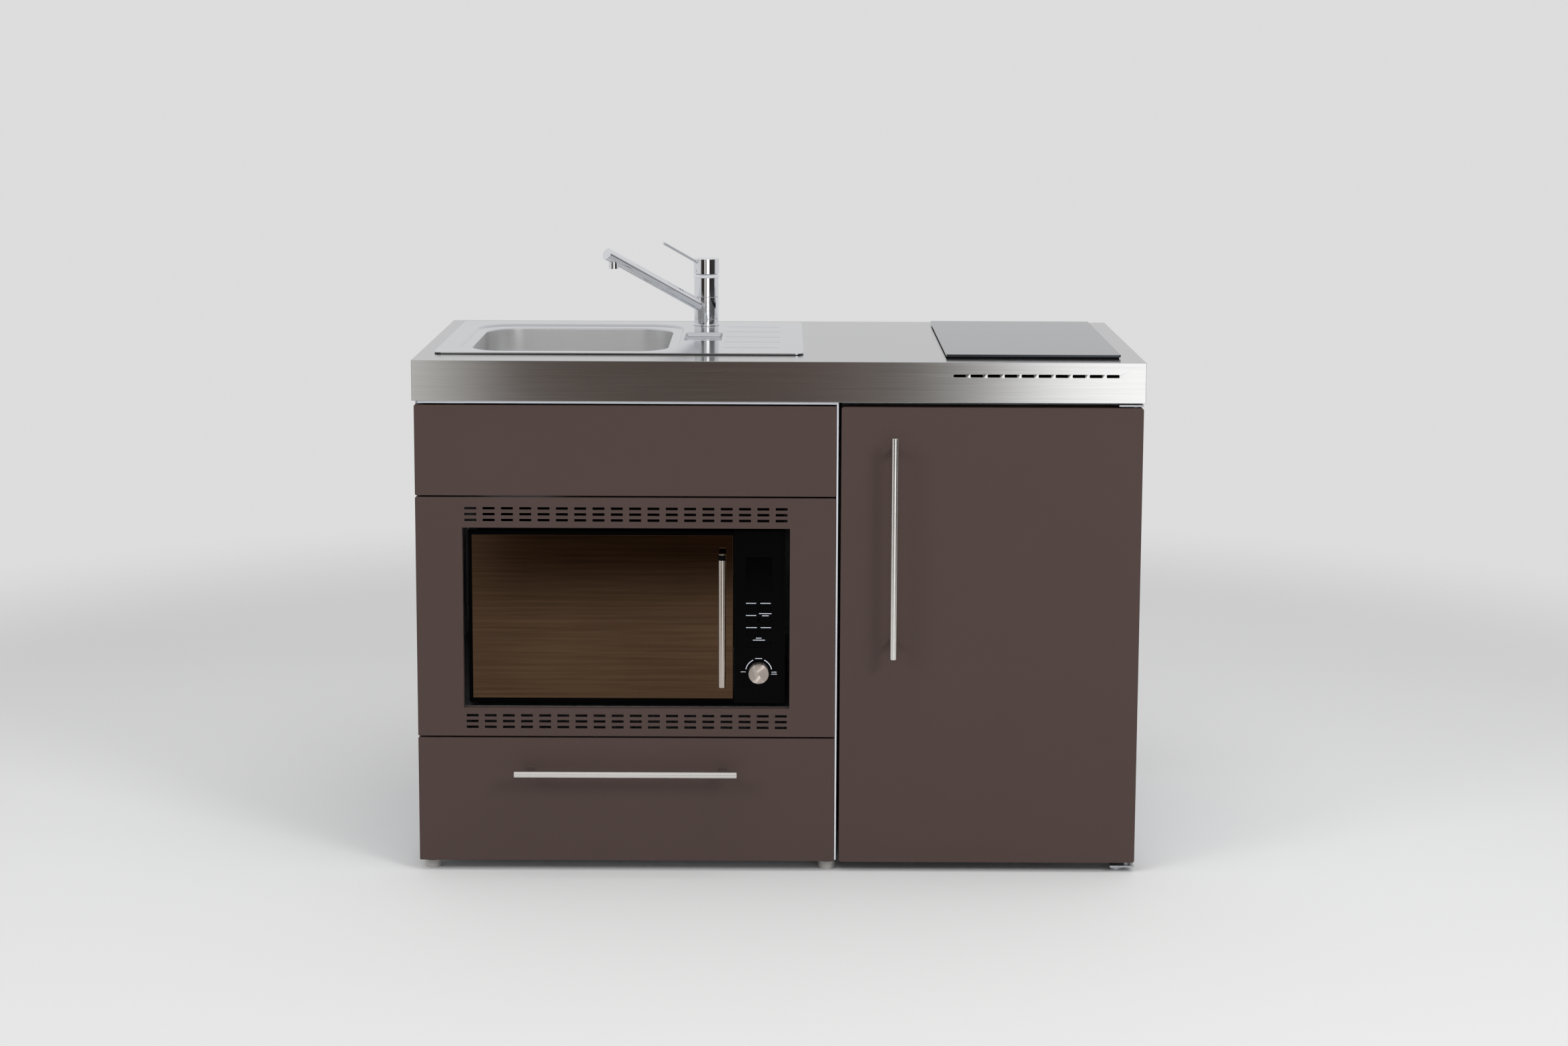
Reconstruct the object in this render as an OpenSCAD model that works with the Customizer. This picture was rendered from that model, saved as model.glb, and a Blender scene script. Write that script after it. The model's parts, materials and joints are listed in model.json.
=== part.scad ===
// Kitchenette: a steel worktop with an inset sink, a mixer tap and a two-zone hob, on a steel cabinet
// with a built-in microwave oven and a drawer, beside a refrigerator under the same worktop.
// Millimetres. Z = 0 is the floor, X = 0 is the middle of the worktop, and Y runs towards the wall.

/* [Worktop] */
// Length of the worktop
worktop_w = 1200; // [1150:10:1400]
// Depth of the worktop from its front face to the wall
worktop_d = 600; // [595:5:650]
// Height of the working surface above the floor
worktop_h = 860; // [855:5:900]
// Height of the folded front edge
apron_h = 67; // [64:1:72]
// Steel thickness of the worktop
worktop_sheet = 1.5; // [1:0.1:2]
// Thickness of the board glued under the steel
core_t = 16; // [13:1:17]
// Number of cooling slots in the front edge
edge_slot_count = 10; // [6:1:12]
// Width of one cooling slot in the front edge
edge_slot_w = 20; // [14:1:22]
// Height of one cooling slot in the front edge
edge_slot_h = 4.7; // [3:0.1:5]
// Distance from one cooling slot to the next
edge_slot_pitch = 27.8; // [26:0.2:30]
// Depth of the cooling slots' middle line below the working surface
edge_slot_drop = 22.4; // [21:0.2:26]

/* [Sink] */
// Length of the sink over its rim
sink_w = 615; // [600:5:630]
// Distance from the sink's rim to the wall
sink_back = 41; // [38:1:60]
// Distance from the worktop's left end to the sink
sink_left = 26; // [20:1:60]
// Distance from the worktop's front face to the sink
sink_front = 84; // [70:1:90]
// Radius of the sink rim's corners
sink_corner_r = 14; // [8:1:20]
// Steel thickness of the sink
sink_sheet = 1; // [0.8:0.1:1.2]
// Height of the rim above the sealing strip
rim_t = 1.8; // [1.4:0.1:2.5]
// Thickness of the sealing strip under the rim
seal_t = 1.2; // [0.8:0.1:2]
// Inside length of the bowl
bowl_w = 336; // [320:2:344]
// Inside width of the bowl, front to back
bowl_d = 350; // [330:2:354]
// Inside depth of the bowl below the rim
bowl_depth = 150; // [135:5:155]
// Radius of the bowl's upright corners
bowl_corner_r = 65; // [45:1:80]
// Radius of the turn from the bowl's walls to its floor
bowl_floor_r = 26; // [15:1:35]
// Distance from the rim's left end to the bowl
bowl_left = 52; // [48:1:60]
// Distance from the rim's front to the bowl
bowl_front = 42; // [38:1:46]
// Depth of the ledge pressed around the bowl
ledge_depth = 2.6; // [2:0.1:4]
// Radius of the hole for the waste
waste_hole_r = 45; // [43:0.5:46]
// Number of grooves in the drainer
groove_count = 5; // [3:1:6]
// Distance from one drainer groove to the next
groove_pitch = 78; // [60:1:80]
// Length of a drainer groove
groove_len = 98; // [80:1:110]
// Width of a drainer groove
groove_w = 8; // [6:0.5:12]

/* [Mixer tap] */
// Distance from the middle of the worktop to the tap, to the left
tap_left = 132; // [128:1:140]
// Distance from the sink's back edge to the tap's axis
tap_in = 51; // [44:1:56]
// Radius of the tap's body
tap_r = 22; // [20:0.5:23]
// Height of the tap's foot under the spout ring
tap_foot_h = 12.4; // [10:0.2:16]
// Height of the spout ring
spout_ring_h = 39.6; // [34:0.2:44]
// Height of the fixed body above the spout ring
tap_body_h = 35; // [33:0.5:40]
// Gap between the fixed body and the cap that tilts
cap_lift = 7.3; // [7:0.1:9]
// Height of the cap
cap_h = 26.4; // [24:0.2:32]
// Radius of the cap
cap_r = 23; // [22.5:0.1:24]
// Radius of the dome that the cap rocks on
dome_r = 26; // [25.5:0.1:26.4]
// Radius of the spout tube
spout_r = 10.5; // [9:0.5:12]
// Reach of the spout from the tap's axis, on plan
spout_reach = 232; // [200:1:240]
// Rise of the spout and of the lever above level
spout_rise = 26; // [20:1:30]
// Turn of the spout and of the lever towards the user, from straight left
spout_turn = 43; // [30:1:60]
// Radius of the aerator
aerator_r = 8.5; // [7:0.5:9]
// Radius of the lever's rod
lever_r = 2.8; // [2.4:0.1:3.4]
// Length of the lever's rod outside the cap
lever_len = 90; // [70:1:110]
// Running clearance between turning parts
running_gap = 0.05; // [0.03:0.01:0.08]

/* [Hob] */
// Width of the hob glass
hob_w = 288; // [280:1:294]
// Distance from the hob glass to the wall
hob_back = 42; // [38:1:60]
// Distance from the worktop's right end to the hob
hob_right = 35.5; // [30:0.5:45]
// Distance from the worktop's front face to the hob
hob_front = 53; // [46:1:60]
// Thickness of the hob glass
hob_glass_t = 4; // [3:0.5:5]
// Thickness of the casing's flange under the glass
hob_flange_t = 2.5; // [2:0.1:3.5]
// Depth of the hob casing below the working surface
hob_casing_h = 52; // [46:1:54]
// Radius of the front cooking zone
front_zone_r = 90; // [72:1:95]
// Radius of the rear cooking zone
rear_zone_r = 72.5; // [60:0.5:90]

/* [Cabinet] */
// Width of the cabinet under the sink
cabinet_w = 695; // [690:1:720]
// Distance from the worktop's end to the cabinet's side
side_inset = 3.3; // [2.5:0.1:5]
// Thickness of the cabinet's side panels and floor
panel_t = 16; // [15:1:18]
// Distance of all fronts behind the worktop's front face
front_set = 2; // [1:0.5:4]
// Depth of the folded fronts
front_t = 20; // [18:1:22]
// Steel thickness of the fronts
front_sheet = 1.2; // [0.8:0.1:1.5]
// Radius of the fronts' corners
front_corner_r = 2; // [1:0.5:3]
// Height of the fronts' lower edge above the floor
front_bottom = 18; // [16:1:20]
// Height of the drawer front
drawer_front_h = 210; // [205:1:215]
// Height of the oven surround
surround_h = 402; // [396:1:408]
// Gap between one front and the next
front_gap = 3.2; // [2.5:0.1:4]
// Gap between the worktop's folded edge and the fronts
edge_gap = 7; // [6:0.5:10]
// Height of the light strip under the worktop's folded edge
strip_h = 3.8; // [3:0.1:5]
// Width of the light strip along the cabinet's right side
side_strip_w = 3; // [2:0.5:4]
// Radius of the cabinet's feet
foot_r = 14; // [12:1:16]
// Radius of the feet's necks
foot_neck_r = 7; // [6:0.5:8]
// Thickness of the back panel
back_t = 1.5; // [1:0.1:2]

/* [Oven surround] */
// Width of the opening for the oven
oven_hole_w = 539.6; // [538:0.2:545]
// Height of the opening for the oven
oven_hole_h = 304; // [302:0.5:308]
// Distance from the cabinet's left side to the opening
oven_hole_left = 76.7; // [72:0.5:80]
// Distance from the surround's lower edge to the opening
oven_hole_bottom = 47.5; // [46:0.5:50]
// Columns of air slots above and below the oven
slot_columns = 18; // [12:1:18]
// Rows of air slots above and below the oven
slot_rows = 3; // [2:1:3]
// Width of one air slot
air_slot_w = 19.7; // [16:0.1:22]
// Height of one air slot
air_slot_h = 4.4; // [3.5:0.1:5]
// Distance from one column of air slots to the next
air_column_pitch = 30.1; // [28:0.1:31]
// Distance from one row of air slots to the next
air_row_pitch = 9.8; // [9:0.1:10.5]
// Depth of the fold around the oven's opening
oven_fold = 13; // [8:1:15]

/* [Drawer] */
// Distance from the drawer box to the back panel
drawer_back = 56.5; // [52:0.5:100]
// Height of the drawer box
drawer_box_h = 140; // [110:5:150]
// Steel thickness of the drawer box
drawer_sheet = 1.2; // [1:0.1:2]
// Height of the drawer's runners
runner_h = 30; // [26:1:36]
// Steel thickness of the runners
runner_sheet = 1.5; // [1.2:0.1:2]
// Clearance between the fixed and the moving runner
runner_gap = 0.4; // [0.3:0.1:0.6]
// Width of a runner with both its members
runner_w = 12.7; // [11:0.1:14]

/* [Bar handles] */
// Radius of the bar handles
bar_r = 6; // [5:0.5:7]
// Length of the bar handles on the drawer and the refrigerator
bar_len = 368; // [340:2:380]
// Distance between the posts of a bar handle
post_pitch = 320; // [280:5:330]
// Distance from a front to the middle of its bar
bar_out = 32; // [28:1:36]
// Radius of the handles' posts
post_r = 5; // [4:0.5:5.5]
// Height of the drawer handle above the floor
drawer_bar_z = 174.4; // [150:0.5:190]
// Height of the middle of the refrigerator's handle above the floor
fridge_bar_z = 555; // [500:5:590]
// Distance from the refrigerator door's left edge to its handle
fridge_bar_in = 86.7; // [40:0.5:110]

/* [Oven] */
// Width of the oven's front
oven_w = 524; // [518:1:526]
// Height of the oven's front
oven_h = 291; // [286:1:293]
// Distance of the oven's front behind the surround's face
oven_set = 13; // [11:0.5:16]
// Depth of the oven's case behind its front
oven_case_d = 390; // [370:5:410]
// Thickness of the oven door
oven_door_t = 26; // [24:1:28]
// Width of the oven's control panel
oven_panel_w = 84.5; // [80:0.5:90]
// Gap between the oven door and the case behind it
oven_door_gap = 3; // [2.5:0.1:4]
// Distance from the oven door's left and front faces to its hinge axis
oven_pivot = 8; // [7.5:0.5:9]
// Radius of the oven door's hinge pins
oven_pin_r = 2.5; // [2:0.1:3]
// Height of the oven's feet
oven_foot_h = 10; // [8:1:11]
// Distance from the cavity to the oven's left side
cavity_left = 15.5; // [15:0.5:20]
// Distance from the cavity to the door's right edge
cavity_right = 54.5; // [52:0.5:60]
// Inside height of the oven's cavity
cavity_h = 240; // [225:1:242]
// Inside depth of the oven's cavity
cavity_d = 314; // [306:1:320]
// Radius of the turntable
turntable_r = 148; // [130:1:150]
// Radius of the oven's turning knob
knob_r = 16.8; // [15:0.2:18]
// Height of the knob's middle above the oven's lower edge
knob_rise = 53.5; // [48:0.5:58]
// Width of one key of the control panel
key_w = 18.2; // [16:0.2:19]
// Height of one key of the control panel
key_h = 7.2; // [6:0.2:9]
// Distance from one row of keys to the next
key_pitch = 20.8; // [17:0.2:22]
// Travel of a key
key_travel = 1.5; // [1:0.1:1.8]
// Length of the oven door's bar handle
oven_bar_len = 224; // [200:2:240]
// Distance from the oven door to the middle of its bar
oven_bar_out = 27; // [22:1:30]

/* [Refrigerator] */
// Gap between the cabinet and the refrigerator's door
fridge_gap = 5; // [4:0.5:8]
// Steel thickness of the refrigerator's case and door
skin_t = 1; // [0.8:0.1:1.2]
// Thickness of the refrigerator's door
fridge_door_t = 38; // [34:1:40]
// Thickness of the door's sealing ring
gasket_t = 9.7; // [8:0.1:11]
// Thickness of the refrigerator's insulated walls
fridge_wall = 38; // [32:1:42]
// Wall of the inner liner
liner_t = 2; // [1.5:0.1:3]
// Distance from the refrigerator's back to the wall
fridge_back = 25; // [20:1:50]
// Number of glass shelves
shelf_count = 2; // [1:1:3]
// Thickness of a glass shelf
shelf_t = 4; // [3:0.5:6]
// Distance from the door's right edge and front face to its hinge pins
fridge_pin_in = 13; // [12:0.5:15]
// Radius of the refrigerator door's hinge pins
fridge_pin_r = 4; // [3:0.2:5]
// Radius of the compressor
compressor_r = 62; // [55:1:64]

/* [Hidden] */
$fn = 64;

brown_paint = [0.33, 0.28, 0.26];
brushed_steel = [0.71, 0.70, 0.68];
sink_steel = [0.78, 0.79, 0.80];
chrome = [0.85, 0.86, 0.88];
light_metal = [0.80, 0.82, 0.84];
zinc = [0.62, 0.64, 0.66];
black = [0.05, 0.05, 0.055];
grey_plastic = [0.60, 0.60, 0.58];
white_plastic = [0.93, 0.94, 0.94];
board = [0.72, 0.58, 0.42];
mirror_glass = [0.20, 0.15, 0.11];
clear_glass = [0.80, 0.88, 0.88, 0.5];

cut = 1;            // how far a cutting shape runs past the face that it cuts
seat_gap = 0.3;     // gap between a loose piece and what it rests on

// The front of the worktop. Everything is drawn from there, and the whole is centred front to back.
bar_reach = bar_out + bar_r - front_set;
front_y = bar_reach - (worktop_d + bar_reach) / 2;

// Worktop
end_x = worktop_w / 2;
sheet_under = worktop_h - worktop_sheet;
core_under = sheet_under - core_t;
apron_under = worktop_h - apron_h;
edge_fold = 14;     // depth of the fold along the lower edge of the apron

// Sink
sink_x = [-end_x + sink_left, -end_x + sink_left + sink_w];
sink_y = [sink_front, worktop_d - sink_back];
sink_cut_in = 12;   // how far the cut-out lies inside the sink's rim
rim_z = [worktop_h + seal_t, worktop_h + seal_t + rim_t];
bowl_x = [sink_x[0] + bowl_left, sink_x[0] + bowl_left + bowl_w];
bowl_y = [sink_y[0] + bowl_front, sink_y[0] + bowl_front + bowl_d];
waste_in = 156;     // from the bowl's front wall to the middle of the waste
waste_at = [(bowl_x[0] + bowl_x[1]) / 2, bowl_y[0] + waste_in];
bowl_floor = rim_z[1] - bowl_depth;
ledge_side = 18;    // width of the ledge left of the bowl and in front of it
ledge_right = 17;   // width of the ledge right of the bowl
ledge_back = 40;    // width of the ledge behind the bowl
ledge_x = [bowl_x[0] - ledge_side, bowl_x[1] + ledge_right];
ledge_y = [bowl_y[0] - ledge_side, bowl_y[1] + ledge_back];
overflow_w = 66;    // the small drain pocket in front of the tap
overflow_d = 126;
overflow_depth = 7;
overflow_mid = [-tap_left, sink_y[1] - tap_in - 182];
groove_x = [overflow_mid[0] + overflow_w / 2 + 4, overflow_mid[0] + overflow_w / 2 + 4 + groove_len];
groove_depth = 0.8;

// Waste and trap
flange_r = waste_hole_r + 11;
cup_r = waste_hole_r - 0.4;
cup_wall = 2;
cup_h = 44;
tail_r = 19;
tail_bore_r = 16.5;
pipe_r = 20;
pipe_bore_r = 17.5;
waste_top = bowl_floor + 1.2;
cup_floor = waste_top - cup_h;
tail_end = cup_floor - 26;
pipe_z = tail_end - 16;
trap_y = worktop_d - 100;
trap_r = 34;
trap_wall = 3;
trap_h = 124;
trap_top = pipe_z + pipe_r + 4;
spigot_y = trap_y + trap_r + 4;
outlet_z = pipe_z - 46;

// Mixer tap
deck_z = rim_z[1];
tap_at = [-tap_left, sink_y[1] - tap_in, deck_z];
ring_z = tap_foot_h;
body_z = ring_z + spout_ring_h;
body_top = body_z + tap_body_h;
cap_z = body_top + cap_lift;
cap_top = cap_z + cap_h;
column_r = tap_r - 5;
spindle_r = 8;
tilt_z = cap_z - sqrt(pow(dome_r, 2) - pow(cap_r - 2.7, 2));
dome_gap = 0.5;
tap_hole_r = 17;
shank_r = 16;
shank_len = 46;
inlet_r = 4.5;
inlet_len = 14;
inlet_pitch = 14;
spout_z = 29;       // height at which the spout's middle line meets the tap's axis
tip_z = spout_z + spout_reach * tan(spout_rise);
spout_len = spout_reach / cos(spout_rise);
aerator_in = 17;    // distance of the aerator's middle from the spout's end, along the tube
lever_z = cap_top - 16; // height at which the lever's middle line meets the tap's axis

// Hob
hob_x = [end_x - hob_right - hob_w, end_x - hob_right];
hob_y = [hob_front, worktop_d - hob_back];
hob_mid_x = (hob_x[0] + hob_x[1]) / 2;
hob_cut_in = 8;
hob_flange_in = 2.5;
hob_clear = 2.5;    // gap between the casing and the cut-out
hob_sheet = 1;
hob_floor = worktop_h - hob_casing_h;
glass_z = worktop_h + hob_flange_t;
heater_h = 17;
front_zone_y = hob_y[0] + 135;
rear_zone_y = hob_y[1] - 128;

// Cabinet
cabinet_x = [-end_x + side_inset, -end_x + side_inset + cabinet_w];
inner_x = [cabinet_x[0] + panel_t, cabinet_x[1] - panel_t];
fronts_x = [cabinet_x[0], cabinet_x[1] - side_strip_w - 0.5];
front_y0 = front_set;
front_y1 = front_set + front_t;
carcass_y = [front_y1, worktop_d - 10];
back_y = [carcass_y[1] - 10 - back_t, carcass_y[1] - 10];
carcass_z0 = front_bottom + 2;
foot_h = front_bottom - 2;
floor_top = carcass_z0 + panel_t;
drawer_front_z = [front_bottom, front_bottom + drawer_front_h];
surround_z = [drawer_front_z[1] + front_gap, drawer_front_z[1] + front_gap + surround_h];
fascia_z = [surround_z[1] + front_gap, apron_under - edge_gap];
foot_in = 19;       // distance from the cabinet's sides to the middle of a foot
foot_front = 28;    // distance from the worktop's front to the middle of a front foot
foot_x = [cabinet_x[0] + foot_in, cabinet_x[1] - foot_in + 4];
foot_y = [foot_front + 2, worktop_d - 50];
rail_t = 2;
rear_rail_d = 14;
rear_rail_h = 40;
drain_hole_r = pipe_r + 14;
service_x = [inner_x[0] + 40, inner_x[0] + 175];
service_z = [outlet_z + 40, outlet_z + 180];

// Oven surround
hole_x = [cabinet_x[0] + oven_hole_left, cabinet_x[0] + oven_hole_left + oven_hole_w];
hole_z = [surround_z[0] + oven_hole_bottom, surround_z[0] + oven_hole_bottom + oven_hole_h];
slots_w = (slot_columns - 1) * air_column_pitch + air_slot_w;
slots_x0 = (hole_x[0] + hole_x[1]) / 2 - slots_w / 2;
slot_band = 22.5;   // distance from the opening to the middle row of air slots

// Oven
oven_x = [(hole_x[0] + hole_x[1]) / 2 - oven_w / 2, (hole_x[0] + hole_x[1]) / 2 + oven_w / 2];
oven_z = [(hole_z[0] + hole_z[1]) / 2 - oven_h / 2, (hole_z[0] + hole_z[1]) / 2 + oven_h / 2];
oven_y = front_set + oven_set;
case_y = [oven_y + oven_door_t + oven_door_gap, oven_y + oven_door_t + oven_door_gap + oven_case_d];
case_in = 1.5;      // how far the case stands inside the outline of the oven's front
case_t = 1;
case_x = [oven_x[0] + case_in, oven_x[1] - case_in];
case_z = [oven_z[0] + case_in, oven_z[1] - case_in];
panel_gap = 1.5;    // gap between the door and the control panel
panel_x = [oven_x[1] - oven_panel_w, oven_x[1]];
door_x = [oven_x[0], panel_x[0] - panel_gap];
panel_wall = 2.5;
pivot = [door_x[0] + oven_pivot, oven_y + oven_pivot];
pin_block = 15;     // width of the solid edge of the door that holds the hinge pins
ear_t = 2;
ear_gap = 0.6;
frame_w = 6;        // how much of the door's frame shows around its glass
glass_t = 4;
glass_x = [door_x[0] + frame_w, door_x[1]];
door_glass_z = [oven_z[0] + frame_w + 1.5, oven_z[1] - frame_w - 1.5];
cavity_t = 1;
cavity_x = [oven_x[0] + cavity_left, door_x[1] - cavity_right];
cavity_z0 = case_z[0] + case_t + 15;
cavity_z = [cavity_z0, cavity_z0 + cavity_h];
cavity_y = [case_y[0], case_y[0] + cavity_d];
table_mid = [(cavity_x[0] + cavity_x[1]) / 2, (cavity_y[0] + cavity_y[1]) / 2];
shelf_z = case_z[0] - oven_foot_h;
wheel_r = 7.2;
wheel_gap = 0.3;
table_z = cavity_z0 + 2 * wheel_r + 2 * wheel_gap;
ring_r = min(104, turntable_r - 30);
coupler_r = 10;
coupler_shaft_r = 4;
motor_h = cavity_z0 - cavity_t - case_z[0] - case_t - 0.4;
keys_mid_x = (panel_x[0] + panel_x[1]) / 2 - 1;
key_gap = 3.2;      // gap between the two keys of a row
key_z = [for (row = [0:3]) oven_z[0] + 161 - row * key_pitch];
key_proud = 0.8;
key_clear = 0.3;
knob_z = oven_z[0] + knob_rise;
knob_out = 17;
knob_shaft_r = 3;
window_w = 43;
window_z = [oven_z[1] - 100, oven_z[1] - 44];
oven_bar_x = door_x[1] - 18;
oven_bar_z = (oven_z[0] + oven_z[1]) / 2;
fan_at = [panel_x[0] + 18, case_y[1] - 30, case_z[1] - 105];
fan_r = 42;
fan_shaft_r = 3;

// Drawer
box_x = [inner_x[0] + runner_w, inner_x[1] - runner_w];
box_y = [front_y1, back_y[0] - drawer_back];
box_z = [floor_top + 12, floor_top + 12 + drawer_box_h];
runner_z = box_z[0] + 20;
rail_y = [carcass_y[0] + 4, box_y[1] + 20];

// Refrigerator
door2_x = [cabinet_x[1] + fridge_gap, end_x - 2.5];
door2_z = [front_bottom - 1, apron_under - edge_gap - 1];
door2_y = [front_set, front_set + fridge_door_t];
fcase_x = [door2_x[0] + 1.5, door2_x[1] - 1.5];
fcase_y = [door2_y[1] + gasket_t + seat_gap, worktop_d - fridge_back];
fcase_z = [22, door2_z[1] + 2];
room_x = [fcase_x[0] + fridge_wall, fcase_x[1] - fridge_wall];
room_z = [fcase_z[0] + fridge_wall + 8, fcase_z[1] - fridge_wall];
room_y = [fcase_y[0], fcase_y[1] - fridge_wall];
niche_z = fcase_z[0] + 178;
niche_y = fcase_y[1] - 165;
step_z = niche_z + fridge_wall;
step_y = niche_y - fridge_wall;
pin2 = [door2_x[1] - fridge_pin_in, door2_y[0] + fridge_pin_in];
bracket_t = 3;
bracket_back = 24;  // how far a hinge bracket reaches over the case
bracket_x = [door2_x[1] - 40, door2_x[1]];
low_bracket_z = 8;
gasket_w = 16;
gasket_x = [room_x[0] - gasket_w - 4, room_x[1] + gasket_w + 4];
gasket_z = [room_z[0] - gasket_w - 4, room_z[1] + gasket_w + 4];
rack_x = [room_x[0] + 16, room_x[1] - 12];
rack_d = 68;        // depth of the door's racks
rack_y = [door2_y[1], door2_y[1] + rack_d];
low_rack_h = 90;    // height of the bottle rack
rack_h = 60;        // height of the other racks
low_rack_z = room_z[0] + 22;
mid_rack_z = room_z[0] + 300;
high_rack_z = room_z[1] - 130;
pot_at = [(fcase_x[0] + fcase_x[1]) / 2 + 40, (niche_y + fcase_y[1]) / 2]; // middle of the compressor
pot_h = 84;         // height of the compressor's pot
pot_plate_d = 60;   // how far the compressor's plate reaches in front of its middle
pot_foot = 40;      // distance of the compressor's feet from its middle, each way
pot_foot_h = 14;
shelf_y = [rack_y[1] + 18, room_y[1] - liner_t - 2];
shelf_step = (room_z[1] - step_z) / (shelf_count + 1);
ledge_w = 6;
ledge_h = 5;
knob2_at = [room_x[1] - liner_t, shelf_y[0] + 60, room_z[1] - 42];
knob2_r = 14;
knob2_shaft_r = 3;
fridge_bar_x = door2_x[0] + fridge_bar_in;
drawer_bar_x = (fronts_x[0] + fronts_x[1]) / 2;
bearer_w = 20;
bearer_y = [fcase_y[0] + bracket_back + 2, fcase_y[1] - 14];

// Puts a piece into the frame, from the worktop's front face.
module placed() {
    translate([0, front_y, 0]) children();
}

// A box between two corners, given as a range along each axis.
module block(x, y, z) {
    translate([x[0], y[0], z[0]]) cube([x[1] - x[0], y[1] - y[0], z[1] - z[0]]);
}

// A flat rectangle with round corners, between two corners.
module rounded(a, b, r) {
    translate([a[0] + r, b[0]]) square([a[1] - a[0] - 2 * r, b[1] - b[0]]);
    translate([a[0], b[0] + r]) square([a[1] - a[0], b[1] - b[0] - 2 * r]);
    for (x = [a[0] + r, a[1] - r], y = [b[0] + r, b[1] - r]) translate([x, y]) circle(r);
}

// A lying plate with round corners.
module lying(x, y, z, r) {
    translate([0, 0, z[0]]) linear_extrude(z[1] - z[0]) rounded(x, y, r);
}

// Stands a flat outline, drawn in X and Z, upright between two depths.
module upright(y) {
    translate([0, y[1], 0]) rotate([90, 0, 0]) linear_extrude(y[1] - y[0]) children();
}

// A round rod along Y.
module rod_y(x, y, z, r) {
    translate([x, y[1], z]) rotate([90, 0, 0]) cylinder(h = y[1] - y[0], r = r);
}

// A round rod along X.
module rod_x(x, y, z, r) {
    translate([x[0], y, z]) rotate([0, 90, 0]) cylinder(h = x[1] - x[0], r = r);
}

// A round rod along Z.
module rod_z(at, z, r) {
    translate([at[0], at[1], z[0]]) cylinder(h = z[1] - z[0], r = r);
}

// A range made wider by g on both sides, or narrower where g is negative.
function grown(a, g) = [a[0] - g, a[1] + g];

// Worktop ------------------------------------------------------------------------------------

module cutouts(z) {
    lying(grown(sink_x, -sink_cut_in), grown(sink_y, -sink_cut_in), z, sink_corner_r);
    lying(grown(hob_x, -hob_cut_in), grown(hob_y, -hob_cut_in), z, 3);
}

module worktop() {
    span = (edge_slot_count - 1) * edge_slot_pitch + edge_slot_w;
    slot_z = worktop_h - edge_slot_drop - edge_slot_h / 2;
    color(brushed_steel) placed() difference() {
        union() {
            block([-end_x, end_x], [0, worktop_d], [sheet_under, worktop_h]);
            block([-end_x, end_x], [0, worktop_sheet], [apron_under, worktop_h]);
            block([-end_x, end_x], [worktop_d - worktop_sheet, worktop_d], [apron_under, worktop_h]);
            for (x = [-end_x, end_x - worktop_sheet]) {
                block([x, x + worktop_sheet], [0, worktop_d], [apron_under, worktop_h]);
            }
            block([-end_x, end_x], [0, edge_fold], [apron_under, apron_under + worktop_sheet]);
        }
        cutouts([sheet_under - cut, worktop_h + cut]);
        for (i = [0:edge_slot_count - 1]) {
            x = hob_mid_x - span / 2 + i * edge_slot_pitch;
            block([x, x + edge_slot_w], [-cut, worktop_sheet + cut], [slot_z, slot_z + edge_slot_h]);
        }
    }
}

module worktop_core() {
    margin = worktop_sheet + seat_gap;
    color(board) placed() difference() {
        block([-end_x + margin, end_x - margin], [margin, worktop_d - margin], [core_under, sheet_under]);
        cutouts([core_under - cut, sheet_under + cut]);
    }
}

// Sink ---------------------------------------------------------------------------------------

// The bowl's form, grown by g, with walls that turn into the floor.
module bowl_form(g, top) {
    corner = bowl_corner_r + g;
    turn = bowl_floor_r + g;
    low = bowl_floor - g;
    hull() {
        for (x = [bowl_x[0] + bowl_corner_r, bowl_x[1] - bowl_corner_r]) {
            for (y = [bowl_y[0] + bowl_corner_r, bowl_y[1] - bowl_corner_r]) {
                translate([x, y, low + turn]) cylinder(h = top - low - turn, r = corner, $fn = 48);
                translate([x, y, low]) cylinder(h = turn, r1 = corner - turn, r2 = corner, $fn = 48);
                translate([x, y, low + turn * 0.3])
                    cylinder(h = turn, r = corner - turn * 0.3, $fn = 48);
            }
        }
    }
}

module sink() {
    color(sink_steel) placed() difference() {
        union() {
            lying(sink_x, sink_y, rim_z, sink_corner_r);
            lying(grown(ledge_x, sink_sheet), grown(ledge_y, sink_sheet),
                [rim_z[1] - ledge_depth - sink_sheet, rim_z[1]], bowl_corner_r);
            block(grown(overflow_x(), sink_sheet), grown(overflow_y(), sink_sheet),
                [rim_z[1] - overflow_depth - sink_sheet, rim_z[1]]);
            bowl_form(sink_sheet, rim_z[1] - ledge_depth);
        }
        lying(ledge_x, ledge_y, [rim_z[1] - ledge_depth, rim_z[1] + cut], bowl_corner_r);
        lying(overflow_x(), overflow_y(), [rim_z[1] - overflow_depth, rim_z[1] + cut], 10);
        lying(grown(overflow_x(), -14), [overflow_mid[1] - 6, overflow_mid[1] + 6],
            [rim_z[1] - overflow_depth - sink_sheet - cut, rim_z[1]], 5);
        bowl_form(0, rim_z[1] + cut);
        rod_z(waste_at, [bowl_floor - sink_sheet - cut, bowl_floor + cut], waste_hole_r);
        rod_z([tap_at[0], tap_at[1]], [rim_z[0] - cut, rim_z[1] + cut], tap_hole_r);
        for (i = [0:groove_count - 1]) {
            y = (sink_y[0] + sink_y[1]) / 2 + (i - (groove_count - 1) / 2) * groove_pitch;
            lying(groove_x, [y - groove_w / 2, y + groove_w / 2],
                [rim_z[1] - groove_depth, rim_z[1] + cut], groove_w / 2 - 0.1);
        }
    }
}

function overflow_x() = [overflow_mid[0] - overflow_w / 2, overflow_mid[0] + overflow_w / 2];
function overflow_y() = [overflow_mid[1] - overflow_d / 2, overflow_mid[1] + overflow_d / 2];

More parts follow.
